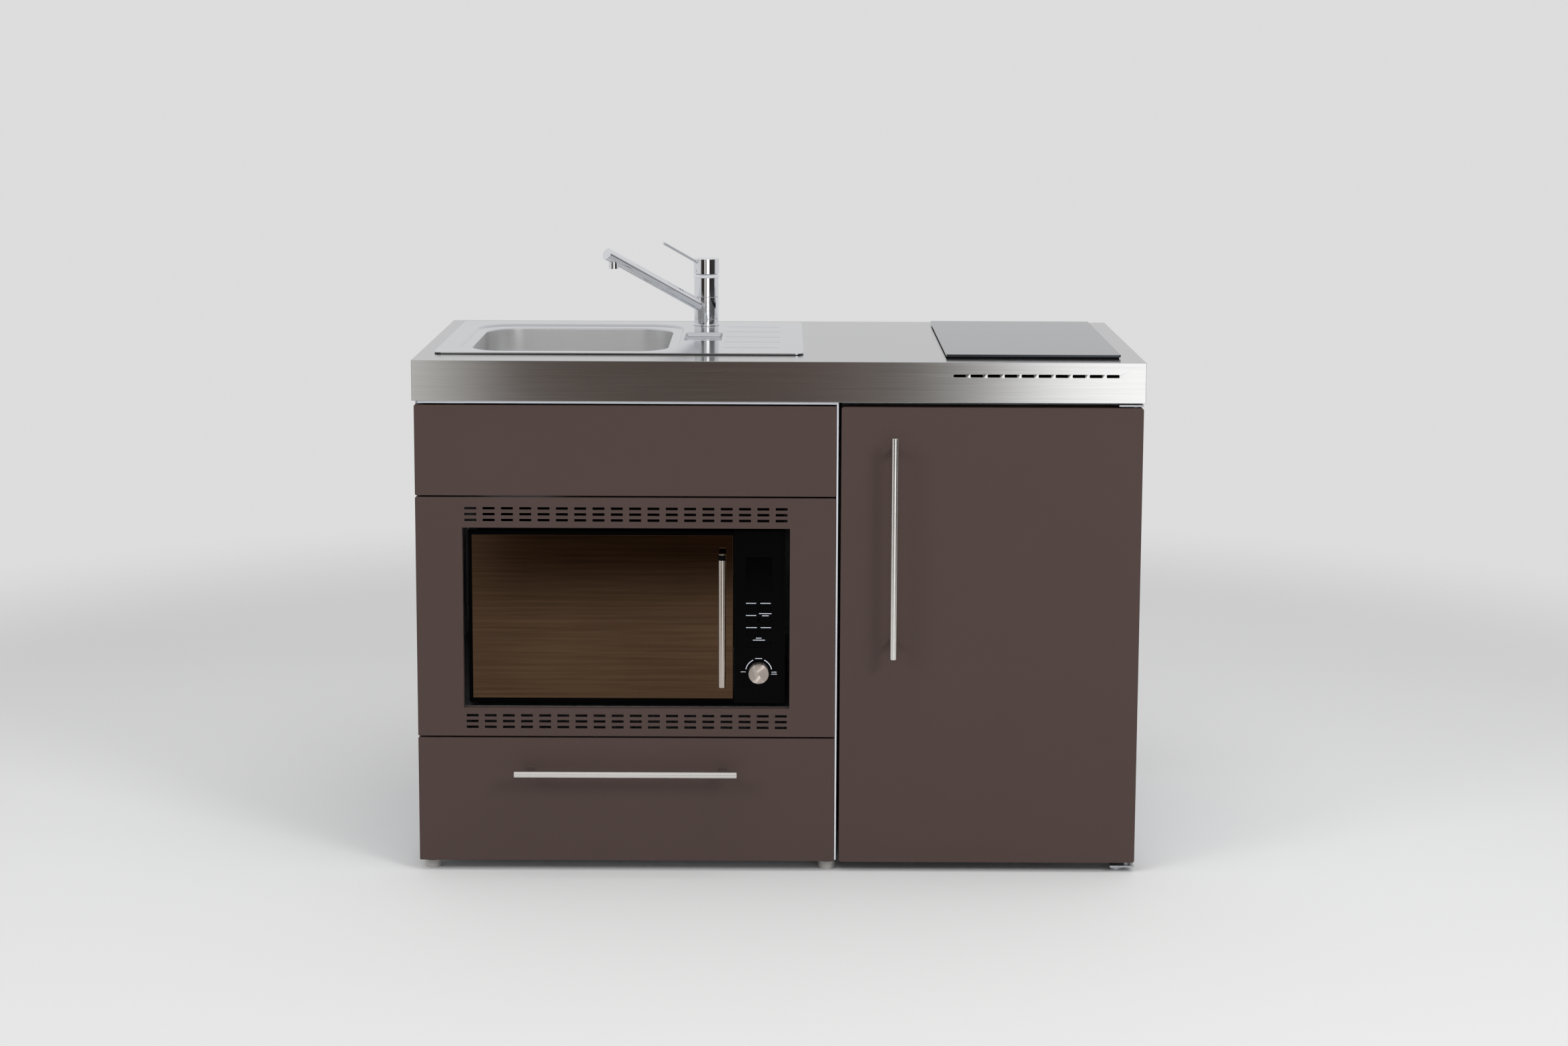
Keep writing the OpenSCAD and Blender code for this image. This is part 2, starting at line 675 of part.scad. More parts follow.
module sink_seal() {
    seal_in = 1.2;
    seal_w = 9;
    z = [worktop_h, rim_z[0]];
    color(black) placed() difference() {
        lying(grown(sink_x, -seal_in), grown(sink_y, -seal_in), z, sink_corner_r - seal_in);
        lying(grown(sink_x, -seal_in - seal_w), grown(sink_y, -seal_in - seal_w), grown(z, cut), 4);
    }
}

// One clamp: a strip down from the rim with a foot that grips the board from below.
module clip(top) {
    strip_w = 24;
    strip_t = 1.5;
    foot_len = 14;
    foot_t = 3;
    translate([-strip_w / 2, 1, core_under - foot_t]) cube([strip_w, strip_t, top - core_under + foot_t]);
    translate([-strip_w / 2, -foot_len, core_under - foot_t]) cube([strip_w, foot_len + 1, foot_t]);
}

module clip_pair(x, y_front, y_back, top) {
    translate([x, y_front, 0]) clip(top);
    translate([x, y_back, 0]) rotate([0, 0, 180]) clip(top);
}

module fixing_clips() {
    sink_edge = grown(sink_y, -sink_cut_in);
    sink_top = rim_z[0];
    hob_edge = grown(hob_y, -hob_cut_in);
    color(zinc) placed() {
        clip_pair(sink_x[0] + 150, sink_edge[0], sink_edge[1], sink_top);
        clip_pair(sink_x[1] - 60, sink_edge[0], sink_edge[1], sink_top);
        for (x = [hob_x[0] + 70, hob_x[1] - 70]) {
            clip_pair(x, hob_edge[0], hob_edge[1], worktop_h);
        }
    }
}

module waste_fitting() {
    nut_r = waste_hole_r + 9;
    nut_h = 12;
    color(chrome) placed() difference() {
        union() {
            rod_z(waste_at, [bowl_floor, waste_top], flange_r);
            rod_z(waste_at, [cup_floor, waste_top], cup_r);
            rod_z(waste_at, [bowl_floor - sink_sheet - nut_h, bowl_floor - sink_sheet], nut_r);
            rod_z(waste_at, [tail_end, cup_floor], tail_r);
        }
        rod_z(waste_at, [cup_floor + cup_wall, waste_top + cut], cup_r - cup_wall);
        rod_z(waste_at, [tail_end - cut, waste_top], tail_bore_r);
    }
}

module bottle_trap() {
    nut_r = 26;
    trap_at = [waste_at[0], trap_y];
    lid_h = 16;
    color(white_plastic) placed() difference() {
        union() {
            rod_z(waste_at, [pipe_z, tail_end + 18], pipe_r + 3);
            rod_z(waste_at, [tail_end, tail_end + 18], nut_r);
            translate([waste_at[0], waste_at[1], pipe_z]) sphere(pipe_r + 3);
            rod_y(waste_at[0], [waste_at[1], trap_y], pipe_z, pipe_r);
            rod_z(trap_at, [trap_top - trap_h, trap_top], trap_r);
            rod_z(trap_at, [trap_top - trap_h - 4, trap_top - trap_h + lid_h], trap_r + 4);
            rod_y(waste_at[0], [trap_y, spigot_y], outlet_z, pipe_r - 1);
            rod_y(waste_at[0], [spigot_y, worktop_d - 2], outlet_z, pipe_r);
        }
        rod_z(waste_at, [tail_end, tail_end + 20], tail_r + running_gap);
        rod_z(waste_at, [pipe_z, tail_end + cut], pipe_bore_r);
        rod_y(waste_at[0], [waste_at[1], trap_y], pipe_z, pipe_bore_r);
        rod_z(trap_at, [trap_top - trap_h + trap_wall, trap_top - trap_wall], trap_r - trap_wall);
        rod_y(waste_at[0], [trap_y, worktop_d], outlet_z, pipe_bore_r);
    }
}

module strainer_basket() {
    basket_r = cup_r - cup_wall - 1.5;
    basket_h = 30;
    lid_r = basket_r + 5;
    low = waste_top + seat_gap;
    hole_r = 2.4;
    color(chrome) placed() difference() {
        union() {
            rod_z(waste_at, [low - basket_h, low + 1], basket_r);
            rod_z(waste_at, [low, low + 1.5], lid_r);
            rod_z(waste_at, [low - basket_h, low + 8], 4);
            rod_z(waste_at, [low + 6, low + 12], 9);
        }
        difference() {
            rod_z(waste_at, [low - basket_h + 1.5, low + 5], basket_r - 1.2);
            rod_z(waste_at, [low - basket_h, low + 8], 4);
        }
        for (ring = [[6, 14], [12, 24], [16, 33]], i = [1:ring[0]]) {
            translate([waste_at[0], waste_at[1], 0]) rotate([0, 0, i * 360 / ring[0]])
                rod_z([ring[1], 0], [low - basket_h - cut, low - basket_h + 3], hole_r);
        }
    }
}

// Hob ----------------------------------------------------------------------------------------

module hob_glass() {
    color(black) placed() lying(hob_x, hob_y, [glass_z, glass_z + hob_glass_t], 4);
}

module hob_casing() {
    box_in = hob_cut_in + hob_clear;
    x = grown(hob_x, -box_in);
    y = grown(hob_y, -box_in);
    color(zinc) placed() difference() {
        union() {
            lying(grown(hob_x, -hob_flange_in), grown(hob_y, -hob_flange_in), [worktop_h, glass_z], 3);
            block(x, y, [hob_floor, glass_z]);
        }
        block(grown(x, -hob_sheet), grown(y, -hob_sheet), [hob_floor + hob_sheet, glass_z + cut]);
        for (i = [0:7]) {
            y1 = y[0] + 60 + i * 12;
            block([hob_mid_x - 60, hob_mid_x + 60], [y1, y1 + 5],
                [hob_floor - cut, hob_floor + hob_sheet + cut]);
        }
    }
}

module heater(at, r) {
    z = [glass_z - seat_gap - heater_h, glass_z - seat_gap];
    leg_r = 6;
    difference() {
        rod_z(at, z, r);
        rod_z(at, [z[0] + 3, z[1] + cut], r - 8);
    }
    rod_z(at, [z[0], z[1] - 5], 14);
    for (turn = [45:90:315]) {
        translate([at[0], at[1], 0]) rotate([0, 0, turn])
            rod_z([r - 14, 0], [hob_floor + hob_sheet, z[0] + 3], leg_r);
    }
}

module hob_heaters() {
    color(zinc) placed() {
        heater([hob_mid_x, front_zone_y], front_zone_r);
        heater([hob_mid_x, rear_zone_y], rear_zone_r);
    }
}

// Mixer tap ----------------------------------------------------------------------------------

// Draws in the tap's own frame: Z from the sink's deck, and the spout and the lever along X.
module at_tap() {
    placed() translate(tap_at) rotate([0, 0, 180 + spout_turn]) children();
}

// A rod up the slope of the spout, from the tap's axis at height z, between two distances along it.
module sloped(z, from, to, r) {
    translate([0, 0, z]) rotate([0, 90 - spout_rise, 0]) translate([0, 0, from])
        cylinder(h = to - from, r = r);
}

module tap_body() {
    nut_r = 24;
    nut_h = 8;
    shank_z = [-rim_t - shank_len, 0];
    color(chrome) at_tap() difference() {
        union() {
            rod_z([0, 0], [0, tap_foot_h - 0.3], tap_r);
            rod_z([0, 0], [0, 2.5], tap_r + 1.5);
            rod_z([0, 0], [0, body_z + 1], column_r);
            rod_z([0, 0], [body_z + 0.3, body_top], tap_r);
            rod_z([0, 0], shank_z, shank_r);
            rod_z([0, 0], [-rim_t - nut_h, -rim_t], nut_r);
        }
        rod_z([0, 0], [body_z + 6, body_top + cut], spindle_r + running_gap);
        for (x = [-inlet_pitch / 2, inlet_pitch / 2]) {
            rod_z([x, 0], [shank_z[0] - cut, shank_z[0] + inlet_len], inlet_r);
        }
    }
}

module tap_spout() {
    ring = [ring_z, body_z];
    color(chrome) at_tap() difference() {
        union() {
            rod_z([0, 0], ring, tap_r + 0.4);
            sloped(spout_z, tap_r - 4, spout_len, spout_r);
        }
        rod_z([0, 0], grown(ring, cut), column_r + running_gap);
        sloped(spout_z, tap_r + 6, spout_len - 4, spout_r - 2);
        translate([spout_reach - aerator_in * cos(spout_rise), 0, tip_z - aerator_in * sin(spout_rise) - 30])
            cylinder(h = 30, r = aerator_r - 1);
    }
}

module tap_aerator() {
    at = [spout_reach - aerator_in * cos(spout_rise), 0];
    mid_z = tip_z - aerator_in * sin(spout_rise);
    color(chrome) at_tap() difference() {
        union() {
            rod_z(at, [mid_z - spout_r - 9, mid_z - spout_r + 1], aerator_r);
            rod_z(at, [mid_z - spout_r + 1, mid_z - 2], aerator_r - 1);
        }
        sloped(spout_z, tap_r + 6, spout_len, spout_r + 0.02);
        rod_z(at, [mid_z - spout_r - 9 - cut, mid_z - spout_r - 5], aerator_r - 2);
    }
}

module tap_stem() {
    color(chrome) at_tap() {
        difference() {
            translate([0, 0, tilt_z]) sphere(dome_r);
            rod_z([0, 0], [tilt_z - dome_r - cut, body_top + 0.3], dome_r + cut);
        }
        rod_z([0, 0], [body_z + 8, body_top + 1], spindle_r);
    }
}

module tap_cap() {
    plug_z = cap_z + 5;
    color(chrome) at_tap() difference() {
        rod_z([0, 0], [cap_z, cap_top], cap_r);
        translate([0, 0, tilt_z]) sphere(dome_r + dome_gap);
        sloped(lever_z, cap_r - 8, cap_r + 12, lever_r);
        rod_x([cap_r - 1, cap_r + 1], 0, plug_z, 2);
    }
}

module tap_lever() {
    color(chrome) at_tap() difference() {
        sloped(lever_z, cap_r - 8, cap_r + lever_len, lever_r);
        translate([0, 0, tilt_z]) sphere(dome_r + dome_gap);
    }
}

// Cabinet ------------------------------------------------------------------------------------

module side_panel(x) {
    block([x, x + panel_t], carcass_y, [carcass_z0, core_under]);
}

module side_panel_left() {
    color(light_metal) placed() side_panel(cabinet_x[0]);
}

module side_panel_right() {
    color(light_metal) placed() {
        side_panel(cabinet_x[1] - panel_t);
        block([cabinet_x[1] - side_strip_w, cabinet_x[1]], [front_y0 + 1, carcass_y[0]],
            [carcass_z0, apron_under - strip_h]);
    }
}

module back_panel() {
    color(zinc) placed() difference() {
        block(inner_x, back_y, [floor_top, core_under]);
        block(service_x, grown(back_y, cut), service_z);
        rod_y(waste_at[0], grown(back_y, cut), outlet_z, drain_hole_r);
    }
}

module floor_panel() {
    color(light_metal) placed() block(inner_x, [carcass_y[0], back_y[1]], [carcass_z0, floor_top]);
}

module top_rails() {
    strip_y = front_y0 + 1;
    rail_y1 = 42;
    strip_z = [apron_under - strip_h, apron_under];
    color(light_metal) placed() {
        block([cabinet_x[0] + 6, cabinet_x[1]], [strip_y, carcass_y[0]], strip_z);
        block(inner_x, [strip_y, rail_y1], strip_z);
        block(inner_x, [rail_y1 - rail_t, rail_y1], [strip_z[0], core_under]);
        block(inner_x, [back_y[0] - rear_rail_d, back_y[0]], [core_under - rail_t, core_under]);
        block(inner_x, [back_y[0] - rail_t, back_y[0]], [core_under - rear_rail_h, core_under]);
        for (x = [fcase_x[0] + 3, fcase_x[1] - 3 - bearer_w]) {
            block([x, x + bearer_w], bearer_y, [fcase_z[1], core_under]);
        }
    }
}

module oven_shelf() {
    shelf_y0 = front_y1 + 4;
    plate_t = 2;
    flange_h = 30;
    color(zinc) placed() {
        block(inner_x, [shelf_y0, back_y[0]], [shelf_z - plate_t, shelf_z]);
        for (x = [inner_x[0], inner_x[1] - plate_t]) {
            block([x, x + plate_t], [shelf_y0, back_y[0]], [shelf_z - flange_h, shelf_z]);
        }
    }
}

// A folded front: a sheet with its four edges turned back.
module front_tray(z, y1) {
    difference() {
        upright([front_y0, y1]) rounded(fronts_x, z, front_corner_r);
        block(grown(fronts_x, -front_sheet), [front_y0 + front_sheet, y1 + cut], grown(z, -front_sheet));
    }
}

module sink_fascia() {
    color(brown_paint) placed() front_tray(fascia_z, front_y1);
}

module air_slots(z_mid) {
    for (row = [0:slot_rows - 1], col = [0:slot_columns - 1]) {
        z = z_mid + (row - (slot_rows - 1) / 2) * air_row_pitch - air_slot_h / 2;
        translate([slots_x0 + col * air_column_pitch, z]) square([air_slot_w, air_slot_h]);
    }
}

module oven_surround() {
    color(brown_paint) placed() {
        upright([front_y0, front_y0 + front_sheet]) difference() {
            rounded(fronts_x, surround_z, front_corner_r);
            rounded(hole_x, hole_z, 1);
            air_slots(hole_z[0] - slot_band);
            air_slots(hole_z[1] + slot_band);
        }
        upright([front_y0 + front_sheet, front_y1]) difference() {
            rounded(fronts_x, surround_z, front_corner_r);
            translate([fronts_x[0] + front_sheet, surround_z[0] + front_sheet])
                square([fronts_x[1] - fronts_x[0] - 2 * front_sheet, surround_h - 2 * front_sheet]);
        }
        upright([front_y0 + front_sheet, front_y0 + oven_fold]) difference() {
            rounded(grown(hole_x, front_sheet), grown(hole_z, front_sheet), 1 + front_sheet);
            rounded(hole_x, hole_z, 1);
        }
    }
}

module cabinet_feet() {
    color(grey_plastic) placed() for (x = foot_x, y = foot_y) {
        rod_z([x, y], [0, foot_h - 3], foot_r);
        rod_z([x, y], [foot_h - 3, foot_h], foot_r - 2);
        rod_z([x, y], [foot_h, carcass_z0], foot_neck_r);
    }
}

// Drawer -------------------------------------------------------------------------------------

module drawer_rail(x, dir) {
    z = [runner_z, runner_z + runner_h];
    web = dir > 0 ? [x, x + runner_sheet] : [x - runner_sheet, x];
    lip = dir > 0 ? [x, x + runner_w - 2] : [x - runner_w + 2, x];
    block(web, rail_y, z);
    block(lip, rail_y, [z[0], z[0] + runner_sheet]);
    block(lip, rail_y, [z[1] - runner_sheet, z[1]]);
}

module drawer_rails() {
    color(zinc) placed() {
        drawer_rail(inner_x[0], 1);
        drawer_rail(inner_x[1], -1);
    }
}

module drawer_runners() {
    z = [runner_z + runner_sheet + runner_gap, runner_z + runner_h - runner_sheet - runner_gap];
    depth = runner_sheet + runner_gap;
    run = [box_y[0] + 6, box_y[1]];
    color(zinc) placed() {
        block([inner_x[0] + depth, box_x[0]], run, z);
        block([box_x[1], inner_x[1] - depth], run, z);
    }
}

module drawer_front() {
    color(brown_paint) placed() difference() {
        front_tray(drawer_front_z, front_y1);
        for (x = bar_posts(drawer_bar_x)) {
            rod_y(x, [front_y0 - cut, front_y0 + front_sheet + cut], drawer_bar_z, 2);
        }
    }
}

module drawer_box() {
    color(light_metal) placed() difference() {
        block(box_x, box_y, box_z);
        block(grown(box_x, -drawer_sheet), grown(box_y, -drawer_sheet),
            [box_z[0] + drawer_sheet, box_z[1] + cut]);
    }
}

// Bar handles --------------------------------------------------------------------------------

function bar_posts(mid) = [mid - post_pitch / 2, mid + post_pitch / 2];

// A bar on two posts, drawn along X and centred on the origin, with the front's face at Y = 0.
module bar_handle(len, pitch, out) {
    collar_r = post_r + 2;
    rod_x([-len / 2, len / 2], -out, 0, bar_r);
    for (x = [-pitch / 2, pitch / 2]) {
        rod_y(x, [-out, 0], 0, post_r);
        translate([x, 0, 0]) rotate([90, 0, 0]) cylinder(h = 5, r1 = collar_r, r2 = post_r);
    }
}

module drawer_handle() {
    color(brushed_steel) placed() translate([drawer_bar_x, front_y0, drawer_bar_z])
        bar_handle(bar_len, post_pitch, bar_out);
}

module fridge_handle() {
    color(brushed_steel) placed() translate([fridge_bar_x, front_y0, fridge_bar_z])
        rotate([0, 90, 0]) bar_handle(bar_len, post_pitch, bar_out);
}

module oven_handle() {
    color(brushed_steel) placed() translate([oven_bar_x, oven_y, oven_bar_z])
        rotate([0, 90, 0]) bar_handle(oven_bar_len, oven_bar_len - 32, oven_bar_out);
}

// Oven ---------------------------------------------------------------------------------------

module oven_case() {
    foot2_r = 12;
    color(zinc) placed() {
        difference() {
            block(case_x, case_y, case_z);
            block(grown(case_x, -case_t), [case_y[0] - cut, case_y[1] - case_t], grown(case_z, -case_t));
            for (i = [0:8]) {
                z = fan_at[2] - 40 + i * 10;
                block([fan_at[0] - 36, fan_at[0] + 36], [case_y[1] - case_t - cut, case_y[1] + cut],
                    [z, z + 4]);
            }
        }
        for (x = [case_x[0] + 40, case_x[1] - 40], y = [case_y[0] + 30, case_y[1] - 40]) {
            rod_z([x, y], [shelf_z, case_z[0]], foot2_r);
        }
        hinge_ear([oven_z[0] - ear_gap - ear_t, oven_z[0] - ear_gap], case_z[0], 13);
        hinge_ear([oven_z[1] + ear_gap, oven_z[1] + ear_gap + ear_t], case_z[1], -13);
    }
}

// An ear on the case that reaches forward past the door's end and holds its pin.
module hinge_ear(z, case_edge, pin_len) {
    x = [pivot[0] - 5, pivot[0] + 7];
    root_y = [case_y[0], case_y[0] + 14];
    mid_z = (z[0] + z[1]) / 2;
    block(x, [pivot[1] - 6, root_y[1]], z);
    block(x, root_y, [min(z[0], case_edge), max(z[1], case_edge)]);
    rod_z(pivot, [min(mid_z, mid_z + pin_len), max(mid_z, mid_z + pin_len)], oven_pin_r);
}

module oven_cavity() {
    frame_t = 1.5;
    frame_x = [case_x[0] + case_t, panel_x[0] - panel_gap];
    frame_z = grown(case_z, -case_t);
    latch_x = door_x[1] - 20;
    color(light_metal) placed() difference() {
        union() {
            block(frame_x, [cavity_y[0], cavity_y[0] + frame_t], frame_z);
            block(grown(cavity_x, cavity_t), [cavity_y[0], cavity_y[1] + cavity_t],
                grown(cavity_z, cavity_t));
        }
        block(cavity_x, [cavity_y[0] - cut, cavity_y[1]], cavity_z);
        rod_z(table_mid, [cavity_z0 - cavity_t - cut, cavity_z0 + cut], coupler_shaft_r + 1);
        for (z = latch_heights()) {
            block([latch_x - 5, latch_x + 5], [cavity_y[0] - cut, cavity_y[0] + frame_t + cut],
                [z - 7, z + 7]);
        }
        for (i = [0:9]) {
            y = cavity_y[0] + 90 + i * 12;
            rod_x([cavity_x[1] - cut, cavity_x[1] + cavity_t + cut], y, cavity_z[1] - 40, 3);
        }
    }
}

function latch_heights() = [oven_z[0] + 60, oven_z[1] - 60];

module oven_panel() {
    y = [oven_y, case_y[0] - 0.5];
    z = oven_z;
    board_y = oven_y + panel_wall + key_travel + 3;
    color(black) placed() {
        difference() {
            upright(y) rounded(panel_x, z, 3);
            block(grown(panel_x, -panel_wall), [y[0] + panel_wall, y[1] + cut], grown(z, -panel_wall));
            block([keys_mid_x - window_w / 2, keys_mid_x + window_w / 2], [y[0] - cut, y[0] + 1], window_z);
            for (k = [0:6]) {
                block(grown(key_span(k), key_clear), [y[0] - cut, y[0] + panel_wall + cut],
                    grown(key_rise(k), key_clear));
            }
            rod_y(keys_mid_x, [y[0] - cut, y[0] + panel_wall + cut], knob_z, knob_shaft_r + running_gap);
        }
        block(grown(panel_x, -panel_wall), [board_y, board_y + 1.6], grown(z, -panel_wall));
    }
}

// The width and the height of key number k: three rows of two, and one wide key below them.
function key_span(k) = k == 6
    ? [keys_mid_x - key_w - key_gap / 2, keys_mid_x + key_w + key_gap / 2]
    : k % 2 == 0
        ? [keys_mid_x - key_gap / 2 - key_w, keys_mid_x - key_gap / 2]
        : [keys_mid_x + key_gap / 2, keys_mid_x + key_gap / 2 + key_w];
function key_rise(k) = [key_z[floor(k / 2)] - key_h / 2, key_z[floor(k / 2)] + key_h / 2];

module oven_key(k) {
    rear = oven_y + panel_wall + key_clear;
    lip = 1;
    color(black) placed() {
        block(key_span(k), [oven_y - key_proud, rear], key_rise(k));
        block(grown(key_span(k), lip), [rear, rear + 1.2], grown(key_rise(k), lip));
    }
}

module oven_button_1() { oven_key(0); }
module oven_button_2() { oven_key(1); }
module oven_button_3() { oven_key(2); }
module oven_button_4() { oven_key(3); }
module oven_button_5() { oven_key(4); }
module oven_button_6() { oven_key(5); }
module oven_button_7() { oven_key(6); }

module oven_knob() {
    face_y = oven_y - seat_gap;
    color(brushed_steel) placed() {
        rod_y(keys_mid_x, [face_y - knob_out, face_y], knob_z, knob_r);
        rod_y(keys_mid_x, [face_y, oven_y + panel_wall + 3], knob_z, knob_shaft_r);
    }
}

module oven_power_unit() {
    base_z = case_z[0] + case_t;
    side_x = cavity_x[1] + cavity_t;
    coil = [side_x + 18, side_x + 96];
    tube_z = [case_z[0] + 120, case_z[0] + 195];
    fan_y = [fan_at[1] - 6, fan_at[1] + 6];
    color(zinc) placed() {
        block(coil, [case_y[0] + 40, case_y[0] + 130], [base_z, base_z + 76]);
        block([coil[0] - 8, coil[1] + 8], [case_y[0] + 58, case_y[0] + 112], [base_z, base_z + 58]);
        block([side_x, side_x + 80], [case_y[0] + 150, case_y[0] + 230], tube_z);
        for (i = [0:5]) {
            z = tube_z[0] + 8 + i * 11;
            block([side_x, side_x + 86], [case_y[0] + 144, case_y[0] + 236], [z, z + 1.5]);
        }
        difference() {
            block([fan_at[0] - 50, fan_at[0] + 50], fan_y, [fan_at[2] - 50, fan_at[2] + 50]);
            rod_y(fan_at[0], grown(fan_y, cut), fan_at[2], fan_r + 3);
        }
        for (dx = [-47, 47], dz = [-47, 47]) {
            rod_y(fan_at[0] + dx, [fan_y[1], case_y[1] - case_t], fan_at[2] + dz, 3);
        }
        difference() {
            union() {
                rod_y(fan_at[0], [fan_y[1] + 1, fan_y[1] + 14], fan_at[2], 20);
                block([fan_at[0] - 50, fan_at[0] + 50], [fan_y[1] + 4, fan_y[1] + 8],
                    [fan_at[2] - 5, fan_at[2] + 5]);
                for (dx = [-50, 44]) {
                    block([fan_at[0] + dx, fan_at[0] + dx + 6], [fan_y[1], fan_y[1] + 8],
                        [fan_at[2] - 5, fan_at[2] + 5]);
                }
            }
            rod_y(fan_at[0], [fan_y[1], fan_y[1] + 12], fan_at[2], fan_shaft_r + running_gap);
        }
    }
}

module cooling_fan() {
    hub_r = 11;
    blade_t = 1.6;
    color(white_plastic) placed() translate(fan_at) rotate([90, 0, 0]) {
        translate([0, 0, -5]) cylinder(h = 10, r = hub_r);
        translate([0, 0, -16]) cylinder(h = 12, r = fan_shaft_r);
        for (turn = [0:72:288]) {
            rotate([0, 0, turn]) translate([hub_r - 2, 0, 0]) rotate([28, 0, 0])
                translate([0, -9, -blade_t / 2]) cube([fan_r - hub_r, 18, blade_t]);
        }
    }
}

module turntable_motor() {
    z0 = case_z[0] + case_t;
    color(zinc) placed() difference() {
        union() {
            rod_z(table_mid, [z0, z0 + motor_h], 25);
            block([table_mid[0] - 35, table_mid[0] + 35], [table_mid[1] - 8, table_mid[1] + 8],
                [z0, z0 + 2]);
        }
        rod_z(table_mid, [z0 + 2, z0 + motor_h + cut], coupler_shaft_r + running_gap);
    }
}

module turntable() {
    plate_t = 5;
    lip_h = 4;
    color(clear_glass) placed() {
        difference() {
            rod_z(table_mid, [table_z, table_z + plate_t + lip_h], turntable_r);
            rod_z(table_mid, [table_z + plate_t, table_z + plate_t + lip_h + cut], turntable_r - 5);
        }
        rod_z(table_mid, [cavity_z0 + 1.5, table_z + 1], coupler_r);
        rod_z(table_mid, [case_z[0] + case_t + 3, cavity_z0 + 2], coupler_shaft_r);
    }
}

module roller_ring() {
    axle_z = cavity_z0 + wheel_r + wheel_gap;
    hub_in = coupler_r + 0.5;
    hub_out = hub_in + 6;
    color(white_plastic) placed() translate([table_mid[0], table_mid[1], 0]) {
        difference() {
            rod_z([0, 0], [axle_z - 2, axle_z + 2], ring_r + 4);
            rod_z([0, 0], [axle_z - 3, axle_z + 3], ring_r - 4);
        }
        difference() {
            rod_z([0, 0], [axle_z - 2, axle_z + 2], hub_out);
            rod_z([0, 0], [axle_z - 3, axle_z + 3], hub_in);
        }
        for (turn = [90, 210, 330]) rotate([0, 0, turn]) {
            block([hub_out - 2, ring_r - 3], [-4, 4], [axle_z - 1.5, axle_z + 1.5]);
            rod_x([ring_r + 3, ring_r + 12], 0, axle_z, wheel_r);
        }
    }
}

module oven_door() {
    y = [oven_y, oven_y + oven_door_t];
    wall = 3;
    latch_x = door_x[1] - 20;
    window_in = 34;
    color(black) placed() {
        difference() {
            upright(y) rounded(door_x, oven_z, 3);
            block([glass_x[0] - 0.2, door_x[1] + cut], [y[0] - cut, y[0] + glass_t],
                grown(door_glass_z, 0.2));
            block([door_x[0] + pin_block + wall, door_x[1] - wall], [y[0] + glass_t + wall, y[1] - wall],
                grown(oven_z, -wall));
            block(grown(glass_x, -window_in), [y[0], y[1] + cut], grown(door_glass_z, -window_in));
            rod_z(pivot, [oven_z[0] - cut, oven_z[0] + 15], oven_pin_r + running_gap);
            rod_z(pivot, [oven_z[1] - 15, oven_z[1] + cut], oven_pin_r + running_gap);
        }
        for (z = latch_heights()) {
            block([latch_x - 1.5, latch_x + 1.5], [y[1], y[1] + oven_door_gap + 7], [z - 4, z + 4]);
        }
    }
}

module oven_door_glass() {
    inner_t = 2;
    y = [oven_y, oven_y + glass_t];
    window_in = 34;
    color(mirror_glass) placed() {
        block([glass_x[0], glass_x[1]], y, door_glass_z);
        block(grown(glass_x, -window_in), [oven_y + oven_door_t - 3, oven_y + oven_door_t - 3 + inner_t],
            grown(door_glass_z, -window_in));
    }
}

// Refrigerator -------------------------------------------------------------------------------

module cold_room(g) {
    difference() {
        block(grown(room_x, g), [room_y[0] - cut, room_y[1] + g], grown(room_z, g));
        block(grown(room_x, g + cut), [step_y - g, room_y[1] + g + cut], [room_z[0] - g - cut, step_z - g]);
    }
}

module fridge_case() {
    inner = grown(fcase_x, -skin_t);
    color(light_metal) placed() {
        difference() {
            block(fcase_x, fcase_y, fcase_z);
            difference() {
                block(inner, [fcase_y[0] + skin_t, fcase_y[1] - skin_t], grown(fcase_z, -skin_t));
                block(fcase_x, [niche_y - skin_t, fcase_y[1]], [fcase_z[0], niche_z + skin_t]);
            }
            block(room_x, [fcase_y[0] - cut, fcase_y[0] + skin_t + cut], room_z);
            block(inner, [niche_y, fcase_y[1] + cut], [fcase_z[0] - cut, niche_z]);
        }
    }
}

module fridge_liner() {
    color(white_plastic) placed() {
        difference() {
            cold_room(0);
            cold_room(-liner_t);
            block(grown(room_x, cut), [room_y[0] - 2 * cut, room_y[0]], grown(room_z, cut));
            rod_x([knob2_at[0] - cut, knob2_at[0] + liner_t - 0.5], knob2_at[1], knob2_at[2],
                knob2_shaft_r + running_gap);
        }
        for (i = [1:shelf_count], x = [room_x[0] + liner_t, room_x[1] - liner_t - ledge_w]) {
            block([x, x + ledge_w], shelf_y, [shelf_level(i) - ledge_h, shelf_level(i)]);
        }
    }
}

function shelf_level(i) = step_z + i * shelf_step - 20;

module fridge_shelves() {
    trim = 6;
    x = [room_x[0] + liner_t + seat_gap, room_x[1] - liner_t - seat_gap];
    color(clear_glass) placed() for (i = [1:shelf_count]) {
        block(x, [shelf_y[0], shelf_y[1] - 1], [shelf_level(i), shelf_level(i) + shelf_t]);
        block(x, [shelf_y[0] - trim, shelf_y[0]], [shelf_level(i) - 3, shelf_level(i) + shelf_t + 3]);
    }
}

